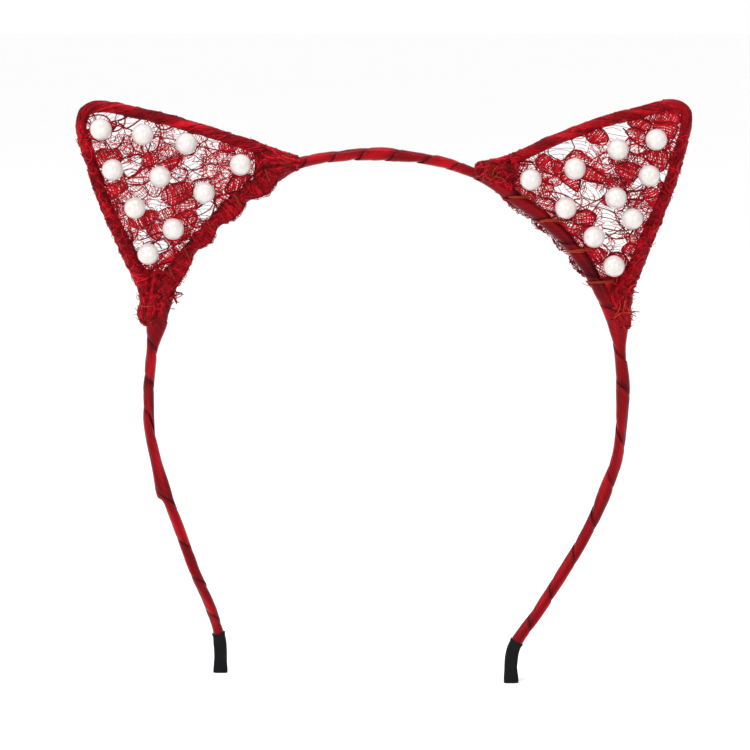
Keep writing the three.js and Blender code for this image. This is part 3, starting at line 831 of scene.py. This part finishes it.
def lace_strands(rng, low, high, heading, mix, sides):
    """Strands of lace on a rectangle, trimmed to sides, which are (points, outward directions).

    mix gives the shares of the kinds of cell at a place.
    """
    bend = [ripples(rng, 7.0, 17.0, 6) for _ in range(2)]
    strands = []
    for cell in cells(rng, low, high, heading):
        cell = resampled(np.vstack([cell, cell[:1]]), 25)[:-1]
        shift = np.stack([b(cell[:, 0], cell[:, 1]) for b in bend], axis=1)
        cell = cell + CELL_WARP * shift
        for points, outward in sides:
            if len(cell) > 2:
                nearest = np.linalg.norm(points - cell.mean(0), axis=1).argmin()
                cell = clip(cell, points[nearest], outward[nearest])
        if len(cell) < 3 or np.ptp(cell, axis=0).max() < 0.9:
            continue
        centre = cell.mean(0)
        kind = rng.choice(4, p=mix(centre))
        size = np.linalg.norm(cell - centre, axis=1).mean()
        inset = centre + (cell - centre) * max(0.4, 1 - 0.2 / size)
        cord, dark = rng.uniform(0.11, 0.24), rng.uniform(0.12, 0.65)
        outline = rounded(inset, 34)
        if kind != OPEN or rng.random() < 0.7:
            strands.append((outline + rng.uniform(-0.09, 0.09, outline.shape), cord, 0.1, dark))
        if kind != OPEN and rng.random() < 0.55:
            second = rounded(centre + (inset - centre) * 0.8, 30)
            strands.append((second, 0.11, 0.14, dark + 0.25))
        slant = rng.uniform(0, math.pi)
        if kind == OPEN:
            for line in hatch(rng, inset, heading + rng.uniform(-0.5, 0.5), 1.1, ragged=0.0):
                strands.append((line, 0.06, 0.0, rng.uniform(0.35, 0.8)))
            continue
        pitch, radius = HATCH_PITCH[kind], HATCH_RADIUS[kind]
        for line in hatch(rng, inset, slant, pitch):
            line = line + rng.uniform(-0.06, 0.06, line.shape)
            strands.append((line, radius, rng.uniform(-0.1, 0.12), rng.uniform(0.6, 1.1)))
        for line in hatch(rng, inset, slant + rng.uniform(1.0, 1.9), pitch * 2.2):
            strands.append((line, radius * 0.9, rng.uniform(-0.22, 0.0), rng.uniform(0.55, 1.05)))
    return strands


def vines(rng, low, high, sides, count, length, size, tone, heading, spread, step=0.5, curl=0.5):
    """Threads that wander over a rectangle, each kept to its middle stretch inside the sides.

    length, size (a radius) and tone are ranges. heading is the mean direction.
    """
    strands = []
    low, high = np.array(low, float), np.array(high, float)
    for _ in range(count):
        steps = int(rng.uniform(*length) / step) + 3
        turning = rng.uniform(-curl, curl) + np.cumsum(rng.normal(0, 0.16, steps))
        angle = heading + rng.normal(0, spread) + np.cumsum(turning) * step * 0.35
        line = np.cumsum(np.stack([np.cos(angle), np.sin(angle)], axis=1) * step, axis=0)
        line += rng.uniform(low, high) - line[steps // 2]
        inside = is_within(line, sides) & (line > low).all(1) & (line < high).all(1)
        if sides and not inside[steps // 2]:
            continue
        after = np.flatnonzero(~inside[steps // 2 :])
        before = np.flatnonzero(~inside[: steps // 2])
        first = before[-1] + 1 if len(before) else 0
        last = steps // 2 + after[0] if len(after) else steps
        if last - first > 3:
            lift = rng.uniform(-0.15, 0.22)
            strands.append((line[first:last], rng.uniform(*size), lift, rng.uniform(*tone)))
    return strands


def lay(strands, surface):
    """Strands on a flat rectangle, laid on surface(x, y, lift)."""
    return [
        (surface(line[:, 0], line[:, 1], np.full(len(line), lift)), radius, tone)
        for line, radius, lift, tone in strands
    ]


# ---------------------------------------------------------------- ears


class Ear:
    """The routes and places that the pieces of one ear share."""

    def __init__(self, side):
        self.side, self.facts = side, EARS[side]
        self.wire = Route([(x, 0, z) for x, z in self.facts["wire"]])
        self.apex = self.facts["apex"] * self.wire.length
        self.inside = self.facts["inside"]
        self.base_outer = band_place(self.facts["outer"]["wide"][1], side)
        self.base_inner = band_place(self.facts["inner"]["wide"][1] - 5, side)
        self.pearls = []
        for i in range(1, 11):
            low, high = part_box(f"{side}_pearl_{i:02d}")
            self.pearls.append(np.array((low + high) / 2) / MM)

    def foot(self, foot):
        """Where a foot is tied, its length, and the directions along and across it."""
        ends = (self.facts[foot][end] for end in ("narrow", "wide"))
        narrow, wide = (np.array([x, 0, z]) for x, z in ends)
        length = float(np.linalg.norm(wide - narrow))
        along = (wide - narrow) / length
        return narrow, length, along, np.cross(along, BACK)

    def build(self, piece, part, node, materials, slot):
        """The finished piece, which stands for a node. Both names start with the side."""
        return piece.build(f"{self.side}_{part}", materials, slot, CROWN, [f"{self.side}_{node}"])


def flat(points):
    return points[:, [0, 2]]


GATHERED = 1.6  # lace cut for an ear, over the area it shows: it is drawn together at the feet
TRIM_INSET = 0.6

# Shares of the kinds of cell: in the middle of an ear, at its edges, and in its clear patches.
MIDDLE_MIX = np.array([0.2, 0.24, 0.32, 0.24])
EDGE_MIX = np.array([0.05, 0.13, 0.34, 0.48])
CLEAR_MIX = np.array([0.8, 0.12, 0.08, 0.0])


def trim_sides(ear):
    """The two rims and the band, each as points in the plane of the ear and outward directions."""
    sides, length = [], ear.wire.length
    for start, end in ((0.05 * length, ear.apex - 1.5), (ear.apex + 1.5, length)):
        centre, _, left, _ = ear.wire.frame(np.linspace(start, end, 60))
        sides.append((flat(centre + left * ear.inside * TRIM_INSET), flat(-left * ear.inside)))
    near, far = sorted((ear.base_outer, ear.base_inner))
    centre, _, left, _ = band.frame(np.linspace(near - 8, far + 8, 60))
    sides.append((flat(centre + left * TRIM_INSET), flat(-left)))
    return sides


def build_panel(ear):
    """The see-through lace. Returns it with its flat size and area."""
    rng = np.random.default_rng(ear.facts["seed"])
    sides = trim_sides(ear)
    corners = np.vstack([points for points, _ in sides])
    low, high = corners.min(0), corners.max(0)
    wave, fold = ripples(rng, 6.0, 16.0), ripples(rng, 3.0, 6.0)
    feet = [np.array(ear.facts[foot]["narrow"]) for foot in ("inner", "outer")]
    cloudy, veil = ripples(rng, 7.0, 16.0), ripples(rng, 3.5, 9.0, 9)
    airy = ripples(rng, 9.0, 20.0, 6)
    apex = flat(ear.wire.at(np.array([ear.apex])))[0]

    def surface(x, z, lift):
        nearest = np.min([np.hypot(x - fx, z - fz) for fx, fz in feet], axis=0)
        gathered = ease(nearest, 32.0, 10.0)
        y = 0.32 * wave(x, z) + 0.16 * fold(x, z) * (1 + gathered) - 0.1
        return np.stack([x, y - lift, z], axis=-1)

    def cleared(place):
        return ease(airy(*place), 0.06, 0.6)

    def mix(place):
        """Denser along the band, low on the outer rim, near the feet and at the right apex."""
        to_band = np.linalg.norm(sides[2][0] - place, axis=1).min()
        to_rim = np.linalg.norm(sides[1][0][20:] - place, axis=1).min()
        to_foot = min(np.linalg.norm(place - foot) for foot in feet)
        to_apex = np.linalg.norm(place - apex) + 9 * (ear.side == "left")
        crowd = max(
            ease(to_band, 7.0, 1.5), ease(to_rim, 5.0, 1.0),
            ease(to_foot, 24.0, 10.0), ease(to_apex, 12.0, 6.0),
        )
        crowd = np.clip(crowd + 0.25 * cloudy(*place), 0, 1)
        shares = between(MIDDLE_MIX, EDGE_MIX, crowd)
        return between(shares, CLEAR_MIX, cleared(place) * (1 - crowd))

    heading = 0.35 * ear.inside
    strands = lace_strands(rng, low, high, heading, mix, sides)
    strands += vines(rng, low, high, sides, 60, (8, 24), (0.12, 0.22), (0.1, 0.6), heading, 0.7)
    net = vines(rng, low, high, sides, 3600, (1.6, 4.5), (0.06, 0.115), (0.6, 1.1),
                heading, 1.2, step=0.3, curl=2.6)
    for strand in net:
        place = strand[0].mean(0)
        if veil(*place) - 1.2 * cleared(place) > rng.uniform(-1.1, 0.2):
            strands.append(strand)
    piece = Piece()
    piece.threads(lay(strands, surface))
    obj = ear.build(piece, "lace_panel", "ear_lace_panel", [LACE], "lace")
    top, outer, base = (points for points, _ in sides)
    ring = np.vstack([top, outer, base if ear.side == "left" else base[::-1]])
    after = np.roll(ring, -1, 0)
    area = abs((ring[:, 0] * after[:, 1] - ring[:, 1] * after[:, 0]).sum()) / 2
    return obj, (high - low) * MM, GATHERED * area * MM * MM


def roll_surface(ear, seed):
    """A roll of lace round the ear wire, with a seam where it overlaps itself and small lumps."""
    rng = np.random.default_rng(seed)
    lumps, big = ripples(rng, 1.4, 3.6, 9), ripples(rng, 6.0, 14.0)
    pitch = 21.0 * ear.inside
    length = ear.wire.length

    def surface(s, around, lift):
        angle = around / RIM_RADIUS
        low_side = ease(s, ear.apex + 3, ear.apex + 9)
        step = (s / pitch - angle / (2 * math.pi)) % 1.0
        seam = 0.24 * (ease(step, 0.0, 0.06) * (1 - step)) - 0.08
        inner_side = (1 + ear.inside * np.cos(angle)) / 2
        wider = 0.9 * inner_side * ease(s, ear.apex + 14, ear.apex + 36)
        rough = (0.05 + 0.2 * low_side) * lumps(s, angle * 2.2)
        size = 1.44 + seam + rough + 0.1 * big(s, angle * 2) + wider + lift
        out = np.interp(s / length, (0.05, 0.3, 0.5, 0.75, 0.84, 0.9), ear.facts["rim_shift"])
        outward = -ear.inside * out[..., None] * ear.wire.frame(s)[2]
        return outward + ear.wire.around(s, angle, size, size)

    return surface, pitch


def build_rim(ear, part, start, end, rough, seed):
    """A rolled rim: smooth and drawn out along the top, and tousled lace down the outer side."""
    rng = np.random.default_rng(seed)
    surface, pitch = roll_surface(ear, seed)
    girth = 2 * math.pi * RIM_RADIUS
    columns, row_step = 44, 0.3
    s = np.linspace(start, end, int((end - start) / row_step))[:, None] + np.zeros((1, columns))
    around = np.linspace(0, girth, columns, endpoint=False)[None, :] + 0 * s
    bands, mottle = ripples(rng, 2.0, 5.0), ripples(rng, 1.2, 3.5, 9)
    folds = (around - girth * s / pitch) % girth
    shade = bands(s * 0.12, folds)
    tone = 0.4 - 0.08 * rough + 0.04 * (ear.side == "right") + 0.42 * shade
    tone = tone + (0.14 + 0.22 * rough) * mottle(s, around)
    piece = Piece()
    v = np.linspace(0, girth, columns + 1)
    piece.skin(surface(s, around, 0 * s)[None], s[None], v, tone[None], kind=1)
    strands = []
    lanes = 34 if rough else 56
    for k in range(lanes):
        run = np.arange(start + rng.uniform(0, 6), end - rng.uniform(0, 6), 0.7)
        sway = rng.uniform(0.2, 0.5) * np.sin(run / rng.uniform(2.0, 6.0) + rng.uniform(0, 6.3))
        line = np.stack([run, girth * k / lanes + girth * run / pitch + sway], axis=1)
        light = 0.47 + 0.5 * float(bands(run.mean() * 0.12, girth * k / lanes))
        light = np.clip(light + rng.uniform(-0.2, 0.2), 0.08, 0.95)
        strands.append((line, rng.uniform(0.06, 0.12), rng.uniform(-0.03, 0.05), light))
    fuzz = (560, 0.19, 0.9, 1.6, 110) if rough else (160, 0.13, 0.2, 0.3, 5)
    count, thick, spread, curl, loose = fuzz
    strands += vines(rng, (start + 0.8, 0.0), (end - 0.8, girth), (), count, (1.5, 5),
                     (0.07, thick), (0.05, 1.0), math.atan2(girth, pitch), spread,
                     step=0.35, curl=curl)
    piece.threads(lay(strands, surface))
    piece.threads(frays(rng, surface, start, end, girth, loose, (0.4, 1.5)))
    return ear.build(piece, part, f"ear_{part}", [LACE, CLOTH], "lace")


def frays(rng, surface, start, end, girth, count, length):
    """Loose thread ends that stand off a surface."""
    strands = []
    for _ in range(count):
        s, around = rng.uniform(start, end), rng.uniform(0, girth)
        reach, curl = rng.uniform(*length), rng.uniform(-1.6, 1.6)
        t = np.linspace(0, 1, 6)
        line_s = np.clip(s + curl * t * t, start, end)
        line_around = around + rng.uniform(-1, 1) * t * 1.5
        points = surface(line_s, line_around, reach * t * (1.3 - 0.5 * t) * 0.6)
        strands.append((points, rng.uniform(0.06, 0.1), rng.uniform(0.3, 0.8)))
    return strands


def gather_surface(ear, foot, seed):
    """Lace bunched at a foot of the ear: pleats that fan out from the tied end and get thinner."""
    facts = ear.facts[foot]
    narrow, length, along, across = ear.foot(foot)
    rng = np.random.default_rng(seed)
    lumps, hang = ripples(rng, 1.6, 4.5, 9), ripples(rng, 2.5, 6.0)
    phase = rng.uniform(0, 6.3, 3)
    outer_side = math.copysign(1, across[0] * narrow[0])
    outer_trim = 0.28 if (ear.side, foot) == ("left", "outer") else 0.0

    def relief_at(t, around):
        share, side = np.clip(t / length, 0, 1), np.cos(around)
        pleats = np.cos(8.5 * side + phase[0]) + 0.6 * np.cos(15 * side + phase[1] + 2 * share)
        return (0.1 + 0.4 * share) * pleats * 0.6 + 0.38 * lumps(t, around * 3 + 3 * share)

    def surface(t, around, lift):
        """t runs from 0 to length, around from 0 to 2 pi, starting across."""
        share = np.clip(t / length, 0, 1)
        half = np.interp(share, (0, 1 / 3, 2 / 3, 1), facts["widths"]) - 0.35
        side = np.cos(around)
        relief = relief_at(t, around)
        depth = (GATHER_HALF_DEPTH - 0.25) * (1 - 0.62 * ease(share, 0.3, 1.0))
        if foot == "inner":
            depth = depth * (0.66 + 0.34 * ease(share, 0.0, 0.3))
        nose = np.sqrt(1 - 0.85 * (1 - np.clip(t / facts["nose"], 0, 1)) ** 2)
        ragged = share * (0.8 * hang(side * 6, 2.0 * np.sign(np.sin(around))))
        slim = 1 - outer_trim * ease(share, 0.2, 0.5) * (side * outer_side > 0)
        x = half * nose * slim * side + 0.25 * relief * side
        y = (depth * nose + relief + lift) * np.sin(around)
        return (narrow + (t + ragged)[..., None] * along + x[..., None] * across
                + y[..., None] * -BACK + (lift * side)[..., None] * across)

    return surface, relief_at, length


GATHER_ON_MAP = 5.0  # radius of a gather in the UV map and for the threads laid on it
GATHER_THREADS = 120


def build_gather(ear, foot, seed):
    """A foot of the ear: pleated cloth, threads along its pleats, a tangle, and loose ends."""
    rng = np.random.default_rng(seed + 500)
    surface, relief_at, length = gather_surface(ear, foot, seed)
    columns = 72
    t = np.linspace(0.6, length, int(length / 0.3))[:, None] + np.zeros((1, columns))
    around = (np.arange(columns) + 0.5)[None, :] * 2 * math.pi / columns + 0 * t
    mottle = ripples(rng, 1.5, 4.5)(t * 0.6, np.cos(around) * 6)
    # Painted shade: the cloth's tone follows the relief of the pleats and lumps, lighter where they
    # stand out and darker in their hollows.
    tone = 0.3 + 0.2 * mottle + 0.75 * relief_at(t, around)
    girth = 2 * math.pi * GATHER_ON_MAP
    piece = Piece()
    v = np.linspace(0, girth, columns + 1)
    piece.skin(surface(t, around, 0 * t)[None], t[None], v, tone[None], kind=1)
    strands = []
    for k in range(GATHER_THREADS):
        line = np.linspace(rng.uniform(0.05, 0.4), rng.uniform(0.6, 1.05), 16) * length
        start = 2 * math.pi * (k + rng.uniform(-0.4, 0.4)) / GATHER_THREADS
        angle = start + rng.uniform(-0.2, 0.2) * np.linspace(0, 1, 16) ** 2
        lift = np.full(16, rng.uniform(-0.04, 0.1))
        # Painted shade: each thread is lighter on the raised pleats and darker in their hollows.
        light = 0.45 + 0.9 * float(relief_at(line, angle).mean()) + rng.uniform(-0.25, 0.25)
        light = np.clip(light, 0.05, 0.95)
        strands.append((surface(line, angle, lift), rng.uniform(0.07, 0.15), light))
    piece.threads(strands)

    def on_gather(x, y, lift):
        return surface(x, y / GATHER_ON_MAP, lift + 0.05)

    tangle = vines(rng, (1.0, 0), (length, girth), (), 300, (1.5, 6), (0.08, 0.23), (0.05, 1.0),
                   0.0, 0.9, step=0.35, curl=1.6)
    piece.threads(lay(tangle, on_gather))
    loose, longest, tufts = (90, 3.2, ear.facts["tufts"]) if foot == "outer" else (26, 1.6, ())
    ends = frays(rng, on_gather, 0.05 * length, length, girth, loose, (0.6, longest))
    piece.threads(ends)
    for x, z, count in tufts:
        piece.threads(curls(rng, np.array([x, -1.2, z]), 0.9, count, (2.5, 5.5)))
    gather = f"{foot}_foot_gather"
    return ear.build(piece, f"{gather}_lace", gather, [LACE, CLOTH], "lace")


HEM_ON_MAP = 5.2  # height of the hem on the flat lace
HEM_NOTCHES = ((-53.8, -24.0), (-47.2, -17.1), (-39.0, -9.8))  # between the petals in front
HEM_END = (-30.0, -3.4)
HEM_CLOTH = 0.22
PETAL_PLEATS = 46.0


def build_hem(ear, seed):
    """The edge of the lace at the band: petals folded over its front, or a fringe behind it."""
    rng = np.random.default_rng(seed)
    front = ear.side == "left"
    low, high = sorted((ear.base_outer, ear.base_inner))
    if front:
        low, high = low - 7.5, band.nearest(*HEM_END)  # the end petals run over the feet
        notches = [low, *(band.nearest(*notch) for notch in HEM_NOTCHES), high]
    else:
        notches = list(np.linspace(low, high, 5))
    span, lobes = high - low, len(notches) - 1
    shake, top = ripples(rng, 1.5, 4.0), ripples(rng, 2.5, 7.0)
    facing = -1.0 if front else 1.0
    hang_least, hang_more = (0.6, (2.3, 2.8, 2.5, 3.3)) if front else (1.2, (1.0,) * 4)

    def petal_at(s):
        return np.interp(s, notches, np.arange(lobes + 1.0))

    def fan(place, v, phase=0.0):
        """Pleats that spread from the middle of each petal."""
        return np.sin((place % 1.0 - 0.5) * PETAL_PLEATS * (1.1 - 0.5 * v) + phase)

    def surface(s, v, lift):
        """v is 0 above the band's centreline and 1 at the free edge."""
        place = petal_at(s)
        bulge = np.abs(np.sin(np.pi * place)) * np.interp(place, np.arange(lobes) + 0.5, hang_more)
        hang = hang_least + bulge ** 0.8 + 0.3 * shake(s, 0 * s)
        above = 2.5 + 0.9 * top(s, 0 * s) * front
        down = above - v * (above + hang)
        pucker = 0.16 * fan(place, v) * (0.3 + v) + 0.2 * shake(s, v * 5)
        round_band = 0.9 + 1.3 * np.sin(np.pi * np.clip(v * 0.62 + 0.12, 0, 1))
        depth = facing * (round_band + pucker * 0.8 + lift)
        centre, _, left, _ = band.frame(s)
        return centre + down[..., None] * left + depth[..., None] * BACK

    piece = Piece()
    strands = []
    if front:
        rows, half = int(span / 0.25), 16
        v_line = np.linspace(0.02, 1, half)
        s = np.linspace(low, high, rows)[:, None] + 0 * v_line
        v = v_line + 0 * s
        place = petal_at(s)
        tone = 0.52 + 0.15 * ripples(rng, 0.8, 3.0)(s * 1.5, v * 4) + 0.26 * fan(place, v, 1.0)
        # Painted shadow: darker towards the top of the petals, where they fold over the band, and
        # in the notches between them.
        tone = tone - 0.55 * (1 - v) ** 1.6 - 0.3 * np.abs(np.cos(np.pi * place)) ** 10
        rings, u, tones = (
            np.concatenate([face, back[:, ::-1]], axis=1)[None]
            for face, back in (
                (surface(s, v, 0 * s), surface(s, v, 0 * s - HEM_CLOTH)), (s, s), (tone, tone))
        )
        v_map = np.concatenate([v_line, v_line[::-1], [0]]) * 5
        piece.skin(rings, u, v_map, tones, kind=1)
    ribs = int(span / (0.42 if front else 0.7))
    for k in range(ribs):
        place = lobes * (k + rng.uniform(0.1, 0.9)) / ribs
        line = np.linspace(rng.uniform(0.0, 0.4), rng.uniform(0.85, 1.03), 9)
        fanned = np.floor(place) + 0.5 + (place % 1.0 - 0.5) * (0.72 + 0.36 * line)
        run = np.interp(fanned, np.arange(lobes + 1.0), notches) + rng.uniform(-0.3, 0.3) * line
        rib = surface(np.clip(run, low, high), line, np.full(9, rng.uniform(0.0, 0.12)))
        strands.append((rib, rng.uniform(0.07, 0.15), rng.uniform(0.1, 1.0)))
    loops = int(span / 0.8)
    for k in range(loops):
        t = np.linspace(0, 1, 12)
        centre = low + span * (k + rng.uniform(0.3, 0.7)) / loops
        tall = rng.uniform(0.04, 0.12) if front else rng.uniform(0.05, 0.3)
        loop_s = centre + 0.5 * np.cos(math.pi * t) + 0.25 * np.sin(2 * math.pi * t)
        loop = surface(np.clip(loop_s, low, high), 0.97 + tall * np.sin(math.pi * t), 0 * t)
        strands.append((loop, rng.uniform(0.06, 0.1), rng.uniform(0.3, 0.8)))
    for v, size, tone in ((0.98, 0.16, 0.12), (0.86, 0.1, 0.8), (0.72, 0.08, 0.8)) if front else ():
        run = np.linspace(low + 0.2, high - 0.2, 200)
        cord = surface(run, v + 0.02 * shake(run * 2, v), 0 * run + 0.1)
        strands.append((cord, size, tone))
    piece.threads(strands)

    def on_hem(x, y, lift):
        return surface(x, y / HEM_ON_MAP, lift + 0.08)

    edge, count = (HEM_ON_MAP, 260) if front else (6.6, 420)
    tangle = vines(rng, (low, 0.2), (high, edge), (), count, (1.5, 5), (0.06, 0.12), (0.05, 0.95),
                   1.2, 0.8, step=0.35, curl=1.8)
    piece.threads(lay(tangle, on_hem))
    return ear.build(piece, "lace_hem_edge", "ear_lace_hem", [LACE, CLOTH], "lace")


# ---------------------------------------------------------------- lashings and pearls


def winding(centre, along, across, half_across, half_depth, turns, pitch, slant, rng, shift=(0, 0)):
    """A thread wound round a place, its turns side by side and all slanting the same way."""
    t = np.linspace(0, 1, int(turns * 36))
    angle = 2 * math.pi * turns * t + rng.uniform(0, 6.3)
    wobble = 1 + 0.02 * np.sin(7 * angle + rng.uniform(0, 6.3))
    run = pitch * turns * (t - 0.5) * (1 + 0.5 * np.cos(angle)) + slant * np.cos(angle)
    side = (half_across * wobble * np.cos(angle) + shift[0])[:, None] * across
    deep = (half_depth * wobble * np.sin(angle) + shift[1])[:, None] * BACK
    return centre + run[:, None] * along + side + deep


def curls(rng, centre, spread, count, length):
    """Loose ends of thread that curl about a place, in front of the lace."""
    strands = []
    for _ in range(count):
        steps = int(rng.uniform(*length) / 0.25)
        angle = rng.uniform(0, 6.3) + np.cumsum(rng.uniform(-0.1, 0.1) + rng.normal(0, 0.12, steps))
        line = np.cumsum(np.stack([np.cos(angle), 0 * angle, np.sin(angle)], axis=1) * 0.25, axis=0)
        line += centre - line.mean(0) + rng.uniform(-spread, spread, 3) * np.array([1, 0.15, 1])
        line[:, 1] += 0.35 * np.sin(np.linspace(0, 5, steps) + rng.uniform(0, 6.3))
        strands.append((line, 0.13, rng.uniform(0.2, 0.7)))
    return strands


def build_lashings(ear, seed):
    """Sewing thread round the band and the lace, which shows as thin lines drawn across them."""
    rng = np.random.default_rng(seed)
    right = ear.side == "right"
    turns, shift = (2.3, (0.9, -0.1)) if right else (1.4, (0.0, -0.4))
    half, run_x, run_z = ear.facts["stitch"]
    across = unit(np.array([run_x, 0, run_z]))
    along = np.cross(BACK, across)
    for i, heights in enumerate(ear.facts["lashings"], start=1):
        piece = Piece()
        for height in heights:
            centre, _, left, _ = band.frame(band_place(height, ear.side))
            line = winding(centre + 0.5 * left, along, across, half, 2.62, turns, 0.36,
                           rng.uniform(-0.2, 0.2), rng, shift)
            piece.threads([(line, 0.13, rng.uniform(0.3, 0.55) if right else 0.3)], sides=6)
        lashing = f"base_lashing_{i}"
        ear.build(piece, f"{lashing}_thread", lashing, [LASHING], "sewing_thread")
    for foot, reach, width in (("inner", 4.4, 1), ("outer", 3.4, 0)):
        narrow, _, along, across = ear.foot(foot)
        place = narrow + along * reach
        half = ear.facts[foot]["widths"][width]
        line = winding(place, along, across, half - 0.3, 2.5, 4, 0.5, 0.7, rng)
        in_front = place + along * 2.0 + np.array([0, -2.7, 0])
        loose = curls(rng, in_front, 1.6, 4 if right else 1, (3, 6))
        piece = Piece()
        piece.threads([(line, 0.14, 0.08), *loose], sides=6)
        lashing = f"{foot}_foot_lashing"
        ear.build(piece, f"{lashing}_thread", lashing, [LASHING], "sewing_thread")


BEAD_THREAD_POINTS = 900


def bore_direction(degrees):
    angle = math.radians(degrees)
    return np.array([math.cos(angle), 0, math.sin(angle)])


def build_pearls(ear):
    """Beads with a bore right through: the skin of each runs on down its bore and closes."""
    columns, arc, bore = 48, 26, 0.5
    pole = math.acos(bore / PEARL_RADIUS)
    latitude = np.linspace(-pole, pole, arc)
    radius = np.concatenate([PEARL_RADIUS * np.cos(latitude), np.full(4, bore * 0.92)])
    through = np.linspace(0.97, -0.97, 4) * PEARL_RADIUS
    height = np.concatenate([PEARL_RADIUS * np.sin(latitude), through])
    turn = np.arange(columns) * 2 * math.pi / columns
    for i, (centre, degrees) in enumerate(zip(ear.pearls, ear.facts["bores"]), start=1):
        axis = bore_direction(degrees)
        side = np.cross(axis, BACK)
        rings = centre + height[:, None, None] * axis + radius[:, None, None] * (
            np.cos(turn)[None, :, None] * side + np.sin(turn)[None, :, None] * BACK)
        piece = Piece()
        piece.skin(rings[None], np.linspace(0, 9, len(radius))[None, :, None],
                   np.linspace(0, 18, columns + 1), endless=True)
        ear.build(piece, f"bead_{i:02d}", f"pearl_{i:02d}", [PEARL], "imitation_pearl")


def build_pearl_thread(ear):
    """One thread through all pearls of an ear, which goes behind the lace between them."""
    behind, reach, rise = 1.1, 2.4, -1.2
    points, last = [], None
    for centre, degrees in zip(ear.pearls, ear.facts["bores"]):
        bore = bore_direction(degrees)
        middle = centre * np.array([1, 0, 1])

        def at(along, depth):
            return middle + bore * along + np.array([0, depth, 0])

        if last is not None:
            from_start, from_end = (np.linalg.norm(last - at(x, behind)) for x in (-reach, reach))
            bore = -bore if from_end < from_start else bore
        half = [(reach, behind), (reach, rise), (3.3, PEARL_FRONT + 1.1), (3.12, PEARL_FRONT)]
        points += [at(-along, depth) for along, depth in half]
        points += [at(along, depth) for along, depth in reversed(half)]
        last = points[-1]
    piece = Piece()
    piece.threads([(resampled(np.array(points), BEAD_THREAD_POINTS), 0.17, 0.5)], sides=6)
    ear.build(piece, "bead_thread", "pearl_thread", [FINE_THREAD], "fine_thread")


def build_ear(side):
    ear = Ear(side)
    seed = ear.facts["seed"] * 100
    with_panel = [
        build_rim(ear, "top_rim", 0.06 * ear.wire.length, ear.apex + 0.6, False, seed + 1),
        build_rim(ear, "outer_rim", ear.apex - 0.6, 0.93 * ear.wire.length, True, seed + 2),
        build_gather(ear, "inner", seed + 3),
        build_gather(ear, "outer", seed + 4),
        build_hem(ear, seed + 5),
    ]
    panel, size, area = build_panel(ear)
    build_lashings(ear, seed + 6)
    build_pearls(ear)
    build_pearl_thread(ear)


for ear_side in EARS:
    build_ear(ear_side)

# ---------------------------------------------------------------- sleeves and wires


def build_sleeve(side, body):
    """A shrunk sleeve: tight at its mouth, flattened and squared off at its closed end."""
    rng = np.random.default_rng(77 if side == "left" else 78)
    dents = ripples(rng, 2.5, 7.0)
    tip = 0.0 if side == "left" else band.length
    mouth = band_place(CAP_MOUTH_HEIGHT, side)
    body_share, columns = np.linspace(0.02, 0.985, 40), 56
    share = np.concatenate([[0.05, 0.01, 0.0, 0.0, 0.006], body_share, [0.995, 1.0, 1.0]])
    inset = np.concatenate([[0.5, 0.42, 0.34, 0.12, 0.03], np.zeros(40), [0.04, 0.12, 0.3]])
    s = (mouth + (tip - mouth) * share)[:, None]
    turn = (np.arange(columns) + 0.5)[None, :] * 2 * math.pi / columns
    flare = ease(share, 0.55, 1.0)[:, None]
    snug = (0.25 * np.exp(-((share - 0.1) / 0.09) ** 2))[:, None]
    mouth_lip = 0.12 * ease(share, 0.12, 0.0)[:, None]
    wide = 1.84 + 0.22 * flare - inset[:, None] + mouth_lip - snug * 0.4
    deep = 1.8 - 0.3 * flare - inset[:, None]
    power = 0.62 - 0.2 * flare
    cosine, sine = np.cos(turn), np.sin(turn)
    rough = 0.07 * dents(s + 0 * turn, turn * 2 + 0 * s)
    left_reach = (wide + rough) * np.sign(cosine) * np.abs(cosine) ** power
    back_reach = (deep + rough) * np.sign(sine) * np.abs(sine) ** power
    s = s + 0 * turn
    centre, _, left, back = band.frame(s)
    centre = centre + (1 - flare[..., None]) * ribbon_section(s)[2][..., None] * left
    rings = centre + left_reach[..., None] * left + back_reach[..., None] * back
    piece = Piece()
    piece.skin(rings[None], s[None], np.linspace(0, 12, columns + 1))
    piece.build(f"{side}_sleeve", [SLEEVE], "black_sleeve", body, [f"{side}_end_cap"])


build_sleeve("left", LEFT_LEG)
build_sleeve("right", RIGHT_LEG)

for node_name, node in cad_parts.items():
    if "wire" in node_name:
        node.data.materials.clear()
        node.data.materials.append(STEEL)
